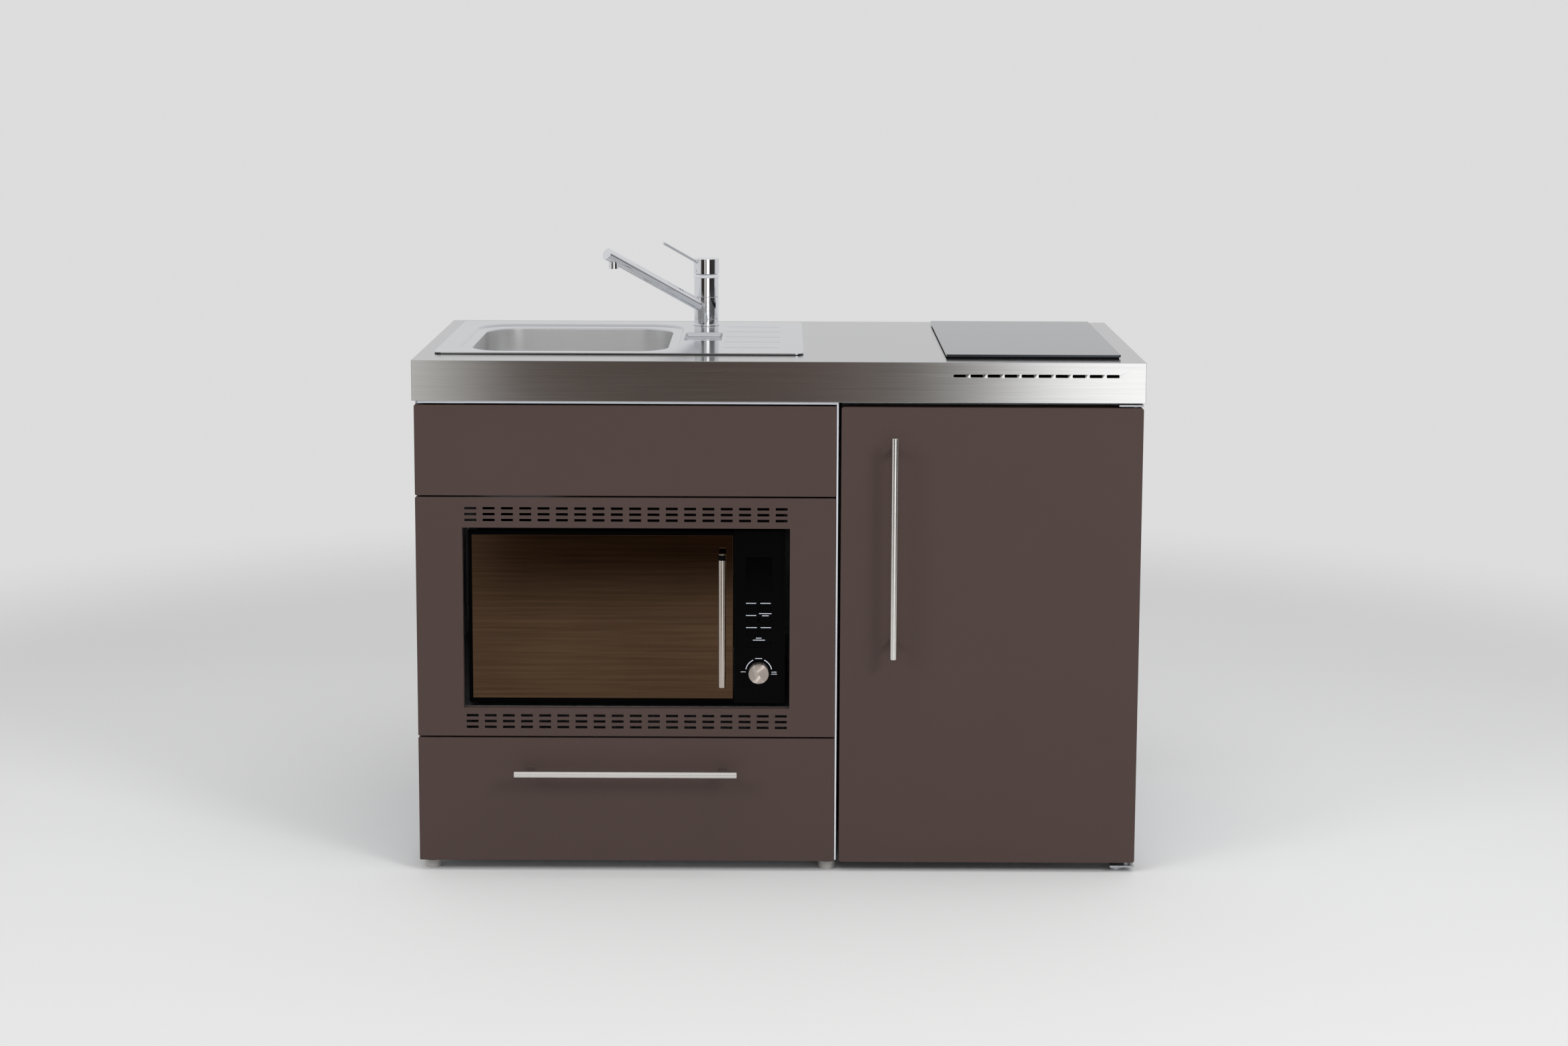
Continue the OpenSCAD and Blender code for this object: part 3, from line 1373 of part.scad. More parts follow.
module fridge_compressor() {
    plate_z = fcase_z[0] + 4;
    plate_t = 2;
    pot_z = plate_z + plate_t + pot_foot_h;
    pipe_y = fcase_y[1] - 10;
    pipe2_r = 2.4;
    coil_x = grown(fcase_x, -40);
    color(black) placed() {
        block(grown(fcase_x, -skin_t), [pot_at[1] - pot_plate_d, fcase_y[1] - 2],
            [plate_z, plate_z + plate_t]);
        for (dx = [-pot_foot, pot_foot], dy = [-pot_foot, pot_foot]) {
            rod_z([pot_at[0] + dx, pot_at[1] + dy], [plate_z + plate_t, pot_z], 9);
        }
        rod_z(pot_at, [pot_z, pot_z + pot_h], compressor_r);
        translate([pot_at[0], pot_at[1], pot_z + pot_h])
            cylinder(h = 16, r1 = compressor_r, r2 = compressor_r - 26);
        for (i = [0:3]) {
            rod_x(coil_x, pipe_y, plate_z + 8 + i * 8, pipe2_r);
        }
        for (x = grown(coil_x, -2)) {
            rod_z([x, pipe_y], [plate_z + plate_t, plate_z + 36], pipe2_r);
        }
    }
}

module hinge_bracket(z, pin_z) {
    block(bracket_x, [door2_y[0] + 3, fcase_y[0] + bracket_back], z);
    rod_z(pin2, pin_z, fridge_pin_r);
}

module fridge_hinges() {
    low = [low_bracket_z, low_bracket_z + bracket_t];
    high = [fcase_z[1], fcase_z[1] + bracket_t];
    color(zinc) placed() {
        hinge_bracket(high, [door2_z[1] - 14, high[1]]);
        hinge_bracket(low, [low[0], door2_z[0] + 14]);
        block(bracket_x, [fcase_y[0], fcase_y[0] + bracket_back], [low[0], fcase_z[0]]);
        rod_z([bracket_x[0] + 12, door2_y[0] + 26], [0, low[0]], 12);
        rod_z([fcase_x[0] + 30, fcase_y[0] + 26], [0, fcase_z[0]], 14);
        for (x = [fcase_x[0] + 9, fcase_x[1] - 9]) rod_z([x, fcase_y[1] - 20], [0, fcase_z[0]], 8);
    }
}

module fridge_door() {
    bore_len = 16;
    bush_r = fridge_pin_in - skin_t - 1;
    color(brown_paint) placed() difference() {
        union() {
            difference() {
                upright(door2_y) rounded(door2_x, door2_z, 4);
                block(grown(door2_x, -skin_t), [door2_y[0] + skin_t, door2_y[1] + cut],
                    grown(door2_z, -skin_t));
            }
            rod_z(pin2, [door2_z[0], door2_z[0] + bore_len + 4], bush_r);
            rod_z(pin2, [door2_z[1] - bore_len - 4, door2_z[1]], bush_r);
        }
        rod_z(pin2, [door2_z[0] - cut, door2_z[0] + bore_len], fridge_pin_r + running_gap);
        rod_z(pin2, [door2_z[1] - bore_len, door2_z[1] + cut], fridge_pin_r + running_gap);
    }
}

module door_rack(z, h) {
    wall = 3;
    difference() {
        block(rack_x, rack_y, [z, z + h]);
        block(grown(rack_x, -wall), [rack_y[0] - cut, rack_y[1] - wall], [z + wall, z + h + cut]);
    }
}

module fridge_door_liner() {
    frame = 4;
    color(white_plastic) placed() {
        block(grown(door2_x, -skin_t), [door2_y[1] - 2, door2_y[1]], grown(door2_z, -skin_t));
        difference() {
            block(grown(rack_x, frame), [door2_y[1], door2_y[1] + 12], grown(room_z, -14));
            block(rack_x, [door2_y[1] - cut, door2_y[1] + 13], grown(room_z, -20));
        }
        door_rack(low_rack_z, low_rack_h);
        door_rack(mid_rack_z, rack_h);
        door_rack(high_rack_z, rack_h);
    }
}

module fridge_gasket() {
    y = [door2_y[1], door2_y[1] + gasket_t];
    color(grey_plastic) placed() upright(y) difference() {
        rounded(gasket_x, gasket_z, 6);
        rounded(grown(gasket_x, -gasket_w), grown(gasket_z, -gasket_w), 3);
    }
}

module thermostat_knob() {
    face_x = knob2_at[0] - seat_gap;
    color(white_plastic) placed() {
        rod_x([face_x - 12, face_x], knob2_at[1], knob2_at[2], knob2_r);
        rod_x([face_x, face_x + liner_t - 0.6], knob2_at[1], knob2_at[2], knob2_shaft_r);
    }
}

worktop();
worktop_core();
sink();
sink_seal();
fixing_clips();
waste_fitting();
bottle_trap();
strainer_basket();
hob_glass();
hob_casing();
hob_heaters();
tap_body();
tap_spout();
tap_aerator();
tap_stem();
tap_cap();
tap_lever();
side_panel_left();
side_panel_right();
back_panel();
floor_panel();
top_rails();
oven_shelf();
sink_fascia();
oven_surround();
cabinet_feet();
drawer_rails();
drawer_front();
drawer_box();
drawer_runners();
drawer_handle();
oven_case();
oven_cavity();
oven_panel();
oven_power_unit();
turntable_motor();
oven_door();
oven_door_glass();
oven_handle();
oven_knob();
oven_button_1();
oven_button_2();
oven_button_3();
oven_button_4();
oven_button_5();
oven_button_6();
oven_button_7();
turntable();
roller_ring();
cooling_fan();
fridge_case();
fridge_liner();
fridge_compressor();
fridge_hinges();
fridge_door();
fridge_door_liner();
fridge_gasket();
fridge_handle();
fridge_shelves();
thermostat_knob();
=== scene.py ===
import json
import math

import bpy
import bmesh
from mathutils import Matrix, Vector

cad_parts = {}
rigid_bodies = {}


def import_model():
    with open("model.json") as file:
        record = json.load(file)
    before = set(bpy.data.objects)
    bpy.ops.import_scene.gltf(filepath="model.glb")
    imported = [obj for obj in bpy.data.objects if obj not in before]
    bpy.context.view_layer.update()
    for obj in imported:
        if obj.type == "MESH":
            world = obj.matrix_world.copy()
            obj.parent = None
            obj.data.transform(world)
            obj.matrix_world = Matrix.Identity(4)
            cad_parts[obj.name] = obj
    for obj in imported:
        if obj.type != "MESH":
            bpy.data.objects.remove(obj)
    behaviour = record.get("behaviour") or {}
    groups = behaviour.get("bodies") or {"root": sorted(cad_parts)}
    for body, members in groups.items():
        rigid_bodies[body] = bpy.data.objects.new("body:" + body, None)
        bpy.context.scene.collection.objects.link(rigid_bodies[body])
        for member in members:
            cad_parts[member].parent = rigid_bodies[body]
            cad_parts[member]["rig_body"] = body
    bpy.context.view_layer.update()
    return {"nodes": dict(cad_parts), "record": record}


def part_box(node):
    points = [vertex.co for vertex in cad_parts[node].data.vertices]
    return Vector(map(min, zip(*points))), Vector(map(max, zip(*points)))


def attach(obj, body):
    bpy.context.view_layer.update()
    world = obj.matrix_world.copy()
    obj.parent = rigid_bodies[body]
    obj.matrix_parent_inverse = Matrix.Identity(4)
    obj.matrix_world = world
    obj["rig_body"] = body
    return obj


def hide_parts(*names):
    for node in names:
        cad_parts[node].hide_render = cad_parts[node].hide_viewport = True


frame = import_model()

mm = 0.001
slotOf = {part["node"]: part["material_slot"] for part in frame["record"]["subparts"]}


# small tools, used as one would use them by hand

def pickOnly(*pieces):
    for other in bpy.context.view_layer.objects:
        other.select_set(False)
    for piece in pieces:
        piece.select_set(True)
    bpy.context.view_layer.objects.active = pieces[0]


def openPiece(piece, mode="FACE"):
    pickOnly(piece)
    bpy.ops.object.mode_set(mode="EDIT")
    bpy.ops.mesh.select_mode(type=mode)
    bpy.ops.mesh.select_all(action="DESELECT")


def openWhole(piece, mode="FACE"):
    openPiece(piece, mode)
    bpy.ops.mesh.select_all(action="SELECT")


def closePiece():
    bpy.ops.object.mode_set(mode="OBJECT")


def pick(piece, kind, test):
    mesh = bmesh.from_edit_mesh(piece.data)
    for item in getattr(mesh, kind):
        item.select_set(bool(test(item)))
    mesh.select_flush_mode()
    bmesh.update_edit_mesh(piece.data)


def applyAll(piece):
    pickOnly(piece)
    for modifier in list(piece.modifiers):
        bpy.ops.object.modifier_apply(modifier=modifier.name)


def settle(piece):
    pickOnly(piece)
    bpy.ops.object.transform_apply(location=True, rotation=True, scale=True)


def named(name):
    piece = bpy.context.object
    piece.name = name
    piece.data.name = name
    return piece


def joined(name, pieces):
    pickOnly(*pieces)
    bpy.ops.object.join()
    return named(name)


def smooth(piece, degrees=48):
    pickOnly(piece)
    bpy.ops.object.shade_smooth_by_angle(angle=math.radians(degrees))
    even = piece.modifiers.new("even", "WEIGHTED_NORMAL")
    even.keep_sharp = True
    applyAll(piece)


def softEdges(piece, width):
    bevel = piece.modifiers.new("edges", "BEVEL")
    bevel.width = width * mm
    bevel.segments = 2
    bevel.limit_method = "ANGLE"
    bevel.angle_limit = math.radians(38)
    bevel.use_clamp_overlap = True
    bevel.loop_slide = False  # a corner may not slide off along a flat edge
    bevel.miter_outer = "MITER_ARC"
    applyAll(piece)


def dress(piece, body, finish=None, nodes=()):
    if finish is not None:
        piece.data.materials.clear()
        piece.data.materials.append(finish)
    if nodes:
        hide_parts(*nodes)
    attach(piece, body)
    return piece


# shader groups that several finishes share

def add(tree, kind, values=None, **settings):
    made = tree.nodes.new(kind)
    for key, value in settings.items():
        setattr(made, key, value)
    for key, value in (values or {}).items():
        made.inputs[key].default_value = value
    return made


def wire(tree, a, aSocket, b, bSocket):
    tree.links.new(a.outputs[aSocket], b.inputs[bSocket])


def startGroup(name, inputs):
    group = bpy.data.node_groups.new(name, "ShaderNodeTree")
    for label, kind, value in inputs:
        group.interface.new_socket(label, in_out="INPUT", socket_type=kind).default_value = value
    group.interface.new_socket("Color", in_out="OUTPUT", socket_type="NodeSocketColor")
    group.interface.new_socket("Roughness", in_out="OUTPUT", socket_type="NodeSocketFloat")
    group.interface.new_socket("Height", in_out="OUTPUT", socket_type="NodeSocketFloat")
    return group, add(group, "NodeGroupInput"), add(group, "NodeGroupOutput")


def finishGroup(group, into, out, pattern, patternSocket, low, high):
    # the pattern goes from 1 - spread to 1 + spread, and multiplies the tint and the roughness
    lower = add(group, "ShaderNodeMath", {0: 1.0}, operation="SUBTRACT")
    upper = add(group, "ShaderNodeMath", {0: 1.0}, operation="ADD")
    wire(group, into, "Spread", lower, 1)
    wire(group, into, "Spread", upper, 1)
    shade = add(group, "ShaderNodeMapRange", {"From Min": low, "From Max": high})
    wire(group, pattern, patternSocket, shade, "Value")
    wire(group, lower, 0, shade, "To Min")
    wire(group, upper, 0, shade, "To Max")
    tint = add(group, "ShaderNodeVectorMath", operation="MULTIPLY")
    wire(group, into, "Tint", tint, 0)
    wire(group, shade, "Result", tint, 1)
    wire(group, tint, 0, out, "Color")
    rough = add(group, "ShaderNodeMath", operation="MULTIPLY")
    wire(group, shade, "Result", rough, 0)
    wire(group, into, "Roughness", rough, 1)
    wire(group, rough, 0, out, "Roughness")


def makeStreakGroup():
    # long scratches, whose direction and fineness come from Stretch
    group, into, out = startGroup("streaks", [
        ("Stretch", "NodeSocketVector", (1.0, 1.0, 1.0)),
        ("Tint", "NodeSocketColor", (0.6, 0.6, 0.6, 1.0)),
        ("Spread", "NodeSocketFloat", 0.1),
        ("Roughness", "NodeSocketFloat", 0.3)])
    coords = add(group, "ShaderNodeTexCoord")
    stretch = add(group, "ShaderNodeVectorMath", operation="MULTIPLY")
    wire(group, coords, "Object", stretch, 0)
    wire(group, into, "Stretch", stretch, 1)
    scratches = add(group, "ShaderNodeTexNoise", {"Scale": 1.0, "Detail": 3.0, "Roughness": 0.6})
    wire(group, stretch, 0, scratches, "Vector")
    clouds = add(group, "ShaderNodeTexNoise", {"Scale": 5.0, "Detail": 2.0})
    wire(group, coords, "Object", clouds, "Vector")
    both = add(group, "ShaderNodeMath", {1: 0.35}, operation="MULTIPLY_ADD")
    wire(group, clouds, "Fac", both, 0)
    wire(group, scratches, "Fac", both, 2)
    finishGroup(group, into, out, both, 0, 0.35, 1.0)
    wire(group, scratches, "Fac", out, "Height")
    return group


def makeGrainGroup():
    # the fine speckle of paint, plastic and board, with slow clouds over it
    group, into, out = startGroup("grain", [
        ("Scale", "NodeSocketFloat", 900.0),
        ("Tint", "NodeSocketColor", (0.5, 0.5, 0.5, 1.0)),
        ("Spread", "NodeSocketFloat", 0.05),
        ("Roughness", "NodeSocketFloat", 0.4)])
    coords = add(group, "ShaderNodeTexCoord")
    specks = add(group, "ShaderNodeTexNoise", {"Detail": 2.0})
    wire(group, coords, "Object", specks, "Vector")
    wire(group, into, "Scale", specks, "Scale")
    clouds = add(group, "ShaderNodeTexNoise", {"Scale": 6.0, "Detail": 3.0})
    wire(group, coords, "Object", clouds, "Vector")
    both = add(group, "ShaderNodeMath", operation="ADD")
    wire(group, specks, "Fac", both, 0)
    wire(group, clouds, "Fac", both, 1)
    finishGroup(group, into, out, both, 0, 0.6, 1.4)
    wire(group, specks, "Fac", out, "Height")
    return group


streakGroup = makeStreakGroup()
grainGroup = makeGrainGroup()


def makeFinish(name, group, values, tint, roughness, spread, bump, depth, **sockets):
    material = bpy.data.materials.new(name)
    material.use_nodes = True
    tree = material.node_tree
    shader = tree.nodes["Principled BSDF"]
    pattern = add(tree, "ShaderNodeGroup", node_tree=group)
    for key, value in {**values, "Tint": (*tint, 1.0), "Spread": spread, "Roughness": roughness}.items():
        pattern.inputs[key].default_value = value
    wire(tree, pattern, "Color", shader, "Base Color")
    wire(tree, pattern, "Roughness", shader, "Roughness")
    if bump > 0:
        relief = add(tree, "ShaderNodeBump", {"Strength": bump, "Distance": depth * mm})
        wire(tree, pattern, "Height", relief, "Height")
        wire(tree, relief, "Normal", shader, "Normal")
    for key, value in sockets.items():
        shader.inputs[key.replace("_", " ")].default_value = value
    return material


def streaked(name, tint, stretch, roughness=0.3, spread=0.08, bump=0.03, **sockets):
    sockets.setdefault("Metallic", 1.0)
    return makeFinish(name, streakGroup, {"Stretch": stretch}, tint, roughness, spread, bump, 1.0, **sockets)


def grained(name, tint, scale=900.0, roughness=0.4, spread=0.04, bump=0.05, **sockets):
    return makeFinish(name, grainGroup, {"Scale": scale}, tint, roughness, spread, bump, 0.5, **sockets)


def brushAlong(material, mapName):
    # the sheen spreads across the brush lines, which follow the map's U direction
    tree = material.node_tree
    along = add(tree, "ShaderNodeTangent", direction_type="UV_MAP", uv_map=mapName)
    wire(tree, along, "Tangent", tree.nodes["Principled BSDF"], "Tangent")


acrossLines = (6.0, 700.0, 700.0)  # brush lines along X
uprightLines = (700.0, 700.0, 6.0)  # brush lines along Z
evenLines = (150.0, 150.0, 150.0)

worktopSteel = streaked("worktopSteel", (0.51, 0.51, 0.508), acrossLines, roughness=0.11, spread=0.09,
                        bump=0.015, Anisotropic=0.95, Anisotropic_Rotation=0.25)
brushAlong(worktopSteel, "brushMap")
deckSteel = streaked("deckSteel", (0.61, 0.625, 0.645), acrossLines, roughness=0.13, spread=0.04, bump=0.01)
# the bowl is the deck's own sheet: its rougher satin is real, its tint lighter than the deck's is painted light,
# so the inside of the bowl reads lit
bowlSatinAndPaintedLight = streaked("bowlSatinAndPaintedLight", (0.84, 0.84, 0.84), (25.0, 25.0, 300.0), roughness=0.31, spread=0.03,
                     bump=0.004, Metallic=0.95)
barSteelAcross = streaked("barSteelAcross", (0.76, 0.74, 0.71), acrossLines, roughness=0.24, spread=0.05,
                          bump=0.008)
barSteelUp = streaked("barSteelUp", (0.76, 0.74, 0.71), uprightLines, roughness=0.22, spread=0.05,
                      bump=0.008)
barSteelWarm = streaked("barSteelWarm", (0.50, 0.45, 0.40), uprightLines, roughness=0.17, spread=0.05,
                        bump=0.006)
knobSteel = streaked("knobSteel", (0.46, 0.40, 0.36), evenLines, roughness=0.24, spread=0.04, bump=0.0,
                     Anisotropic=0.97, Anisotropic_Rotation=0.25)
brushAlong(knobSteel, "spunMap")
chrome = streaked("chrome", (0.78, 0.79, 0.81), (60.0, 60.0, 60.0), roughness=0.04, spread=0.02, bump=0.0)
zincSteel = streaked("zincSteel", (0.50, 0.52, 0.54), evenLines, roughness=0.42, spread=0.16, bump=0.01)
# the mirror glass's dark brown tint and its horizontal streaks are a painted reflection of a wooden floor
mirrorPaintedReflection = streaked("mirrorPaintedReflection", (0.079, 0.046, 0.026), (4.0, 4.0, 190.0), roughness=0.05, spread=0.34,
                        bump=0.0)
brownPaint = grained("brownPaint", (0.0735, 0.0495, 0.0445), scale=1400.0, roughness=0.45, spread=0.03, bump=0.06,
                     Specular_IOR_Level=0.15)
lightPaint = grained("lightPaint", (0.60, 0.63, 0.67), scale=1200.0, roughness=0.38, spread=0.02, bump=0.04)
boardCoat = grained("boardCoat", (0.60, 0.62, 0.65), scale=700.0, roughness=0.45, spread=0.02, bump=0.04)
rawBoard = grained("rawBoard", (0.48, 0.33, 0.19), scale=420.0, roughness=0.8, spread=0.35, bump=0.4)
whitePlastic = grained("whitePlastic", (0.78, 0.79, 0.78), scale=600.0, roughness=0.34, spread=0.015, bump=0.03)
greyPlastic = grained("greyPlastic", (0.42, 0.41, 0.39), scale=600.0, roughness=0.42, spread=0.05, bump=0.05)
hobCeramic = grained("hobCeramic", (0.009, 0.013, 0.018), scale=1500.0, roughness=0.07, spread=0.15, bump=0.0,
                     IOR=1.5, Specular_Tint=(0.94, 0.975, 1.0, 1.0), Coat_Weight=0.3, Coat_Roughness=0.04)
blackGloss = grained("blackGloss", (0.0015, 0.0015, 0.0018), scale=500.0, roughness=0.2, spread=0.1, bump=0.0,
                     Specular_IOR_Level=0.03)
blackMetal = grained("blackMetal", (0.012, 0.012, 0.013), scale=900.0, roughness=0.7, spread=0.15, bump=0.08,
                     Specular_IOR_Level=0.0)
blackMatt = grained("blackMatt", (0.0018, 0.0018, 0.002), scale=900.0, roughness=0.7, spread=0.15, bump=0.05,
                    Specular_IOR_Level=0.0)
blackRubber = grained("blackRubber", (0.012, 0.012, 0.013), scale=900.0, roughness=0.65, spread=0.15, bump=0.1)
clearGlass = grained("clearGlass", (0.93, 0.97, 0.95), scale=40.0, roughness=0.03, spread=0.01, bump=0.0,
                     Transmission_Weight=1.0, IOR=1.5)
printWhite = grained("printWhite", (0.62, 0.66, 0.74), scale=2500.0, roughness=0.5, spread=0.05, bump=0.0)
zonePrint = grained("zonePrint", (0.30, 0.32, 0.34), scale=2500.0, roughness=0.3, spread=0.05, bump=0.0)
windowGlass = grained("windowGlass", (0.0008, 0.0008, 0.0012), scale=300.0, roughness=0.05, spread=0.2, bump=0.0,
                      Specular_IOR_Level=0.05)

finishes = {
    "worktop_steel": worktopSteel, "sink_steel": bowlSatinAndPaintedLight, "chrome_plate": chrome,
    "handle_steel": barSteelUp, "zinc_steel": zincSteel, "brown_paint": brownPaint,
    "light_paint": lightPaint, "coated_board": boardCoat, "core_board": rawBoard,
    "hob_ceramic": hobCeramic, "mirror_glass": mirrorPaintedReflection, "clear_glass": clearGlass,
    "black_gloss": blackGloss, "black_metal": blackMetal, "grey_plastic": greyPlastic,
    "white_plastic": whitePlastic, "black_rubber": blackRubber}
for name, cadNode in frame["nodes"].items():
    cadNode.data.materials.clear()
    cadNode.data.materials.append(finishes[slotOf[name]])
print("finishes are on the CAD nodes")


# metres, degrees and millimetres; the shift is a share of the frame's width
camera = {"x": 0.0041, "y": -4.754, "z": 1.419, "pitch": 7.87, "yaw": 0.059, "roll": 0.239,
          "lens": 63.47, "sensor": 36, "shift": -0.08, "reach": 60}
bpy.ops.object.camera_add(location=(camera["x"], camera["y"], camera["z"]))
view = bpy.context.object
view.rotation_euler = (math.radians(90 - camera["pitch"]), 0, math.radians(-camera["yaw"]))
bpy.context.view_layer.update()
view.rotation_euler.rotate_axis("Z", math.radians(camera["roll"]))
view.data.lens = camera["lens"]
view.data.sensor_width = camera["sensor"]
view.data.shift_y = camera["shift"]
view.data.clip_end = camera["reach"]
bpy.context.scene.camera = view

studio = {
    "pale": 0.72,  # what the camera sees round the object, and what glass shows
    "fill": 0.60,  # even light on matt surfaces
    "overhead": (0.78, 0.78, 0.79),  # what polished metal shows above the ring
    "domeFade": (0.10, 0.28),  # how high the ring gives way to the overhead light, as the sine of the angle
    "floor": (0.70, 0.70, 0.70),
    "floorRoughness": 0.75,
    "floorGloss": 0.1,
    "floorRadius": 3.2,
    "floorFade": (2.0, 3.1),  # metres from the middle
    # each softbox as (name, place, what it faces, size, watts)
    "softboxes": [("leftBox", (-3.4, -3.0, 2.8), (0, 0, 0.5), (1.8, 1.8), 55),
                  ("rightBox", (3.0, -3.4, 3.0), (0, 0, 0.5), (1.4, 1.4), 75),
                  ("topBox", (0.3, -0.8, 3.6), (0, 0, 0.8), (2.6, 2.2), 45)],
    # what polished metal shows at eye level, by the angle from the front, in degrees, left to right
    "ring": [(-180, (0.72, 0.72, 0.73)), (-52, (0.72, 0.72, 0.73)), (-44, (0.035, 0.03, 0.028)),
             (-17, (0.035, 0.03, 0.026)), (-13, (0.98, 0.98, 0.96)), (-7.4, (1.05, 1.05, 1.02)),
             (-6.8, (0.31, 0.28, 0.26)), (-5.8, (0.165, 0.134, 0.117)), (-4.0, (0.126, 0.098, 0.082)),
             (0.5, (0.132, 0.096, 0.084)), (2.0, (0.20, 0.16, 0.145)), (2.9, (0.235, 0.215, 0.195)),
             (3.7, (0.33, 0.30, 0.285)), (4.5, (0.74, 0.74, 0.73)), (5.3, (1.35, 1.35, 1.35)),
             (7.0, (1.85, 1.85, 1.85)), (26, (1.70, 1.70, 1.70)), (30, (0.035, 0.03, 0.03)),
             (80, (0.04, 0.04, 0.04)), (92, (0.72, 0.72, 0.73)), (180, (0.72, 0.72, 0.73))]}


def makeWorld():
    world = bpy.data.worlds.new("studio")
    bpy.context.scene.world = world
    world.use_nodes = True
    tree = world.node_tree
    tree.nodes.clear()
    out = add(tree, "ShaderNodeOutputWorld")
    fill = add(tree, "ShaderNodeBackground", {"Color": (studio["fill"],) * 3 + (1.0,)})
    seen = add(tree, "ShaderNodeBackground", {"Color": (studio["pale"],) * 3 + (1.0,)})
    shown = add(tree, "ShaderNodeBackground")
    path = add(tree, "ShaderNodeLightPath")
    coords = add(tree, "ShaderNodeTexCoord")
    split = add(tree, "ShaderNodeSeparateXYZ")
    wire(tree, coords, "Generated", split, 0)
    ahead = add(tree, "ShaderNodeMath", {1: -1.0}, operation="MULTIPLY")
    wire(tree, split, "Y", ahead, 0)
    turn = add(tree, "ShaderNodeMath", operation="ARCTAN2")
    wire(tree, split, "X", turn, 0)
    wire(tree, ahead, 0, turn, 1)
    place = add(tree, "ShaderNodeMapRange", {"From Min": -math.pi, "From Max": math.pi})
    wire(tree, turn, 0, place, "Value")
    ring = add(tree, "ShaderNodeValToRGB")
    wire(tree, place, "Result", ring, "Fac")
    stops = ring.color_ramp.elements
    while len(stops) > 1:
        stops.remove(stops[-1])
    for index, (angle, color) in enumerate(studio["ring"]):
        along = (angle + 180) / 360
        stop = stops[0] if index == 0 else stops.new(along)
        stop.position = along
        stop.color = (*color, 1.0)
    low, high = studio["domeFade"]
    above = add(tree, "ShaderNodeMapRange", {"From Min": low, "From Max": high})
    wire(tree, split, "Z", above, "Value")
    dome = add(tree, "ShaderNodeMix", data_type="RGBA")
    dome.inputs[7].default_value = (*studio["overhead"], 1.0)
    wire(tree, above, "Result", dome, 0)
    wire(tree, ring, "Color", dome, 6)
    tree.links.new(dome.outputs[2], shown.inputs["Color"])
    direct = add(tree, "ShaderNodeMath", operation="MAXIMUM")
    wire(tree, path, "Is Camera Ray", direct, 0)
    wire(tree, path, "Is Transmission Ray", direct, 1)
    first = add(tree, "ShaderNodeMixShader")
    wire(tree, path, "Is Glossy Ray", first, 0)
    wire(tree, fill, 0, first, 1)
    wire(tree, shown, 0, first, 2)
    second = add(tree, "ShaderNodeMixShader")
    wire(tree, direct, 0, second, 0)
    wire(tree, first, 0, second, 1)
    wire(tree, seen, 0, second, 2)
    wire(tree, second, 0, out, 0)


def makeFloor():
    bpy.ops.mesh.primitive_circle_add(vertices=96, radius=studio["floorRadius"], fill_type="NGON")
    floor = named("floor")
    material = bpy.data.materials.new("paleFloor")
    material.use_nodes = True
    tree = material.node_tree
    shader = tree.nodes["Principled BSDF"]
    shader.inputs["Base Color"].default_value = (*studio["floor"], 1.0)
    shader.inputs["Roughness"].default_value = studio["floorRoughness"]
    shader.inputs["Specular IOR Level"].default_value = studio["floorGloss"]
    coords = add(tree, "ShaderNodeTexCoord")
    reach = add(tree, "ShaderNodeVectorMath", operation="LENGTH")
    wire(tree, coords, "Object", reach, 0)
    near, far = studio["floorFade"]
    fade = add(tree, "ShaderNodeMapRange", {"From Min": near, "From Max": far},
               interpolation_type="SMOOTHSTEP")
    wire(tree, reach, "Value", fade, "Value")
    clear = add(tree, "ShaderNodeBsdfTransparent")
    mix = add(tree, "ShaderNodeMixShader")
    wire(tree, fade, "Result", mix, 0)
    wire(tree, shader, 0, mix, 1)
    wire(tree, clear, 0, mix, 2)
    wire(tree, mix, 0, tree.nodes["Material Output"], 0)
    floor.data.materials.append(material)


def addSoftbox(name, location, target, size, power):
    bpy.ops.object.light_add(type="AREA", location=location)
    lamp = bpy.context.object
    lamp.name = name
    lamp.data.shape = "RECTANGLE"
    lamp.data.size, lamp.data.size_y = size
    lamp.data.energy = power
    lamp.rotation_euler = (Vector(target) - Vector(location)).to_track_quat("-Z", "Y").to_euler()
    lamp.visible_camera = False
    lamp.visible_glossy = False


makeWorld()
makeFloor()
for softbox in studio["softboxes"]:
    addSoftbox(*softbox)
bpy.context.scene.view_settings.view_transform = "Standard"
print("camera and studio are set")


# the flats of these have too many notches to become one face
keptTriangles = ("hob_casing", "oven_door", "oven_button_2", "oven_surround", "worktop")
weldGap = 0.005  # millimetres
flatAngle = 0.4  # degrees


def dressNode(name, edge):
    # a copy of the CAD part takes its place, with its edges broken and its round faces smoothed
    cadNode = frame["nodes"][name]
    pickOnly(cadNode)
    bpy.ops.object.duplicate()
    piece = named(name + "Dressed")
    for key in list(piece.keys()):
        del piece[key]
    piece.parent = None
    openWhole(piece)
    bpy.ops.mesh.remove_doubles(threshold=weldGap * mm)
    if name not in keptTriangles:
        bpy.ops.mesh.dissolve_limited(angle_limit=math.radians(flatAngle))
    closePiece()
    if piece.data.has_custom_normals:
        bpy.ops.mesh.customdata_custom_splitnormals_clear()
    softEdges(piece, edge)
    # faces with many corners are cut into triangles
    openPiece(piece)
    pick(piece, "faces", lambda face: len(face.verts) > 4)
    bpy.ops.mesh.quads_convert_to_tris(quad_method="BEAUTY", ngon_method="BEAUTY")
    closePiece()
    smooth(piece)
    return dress(piece, cadNode["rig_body"], nodes=[name])


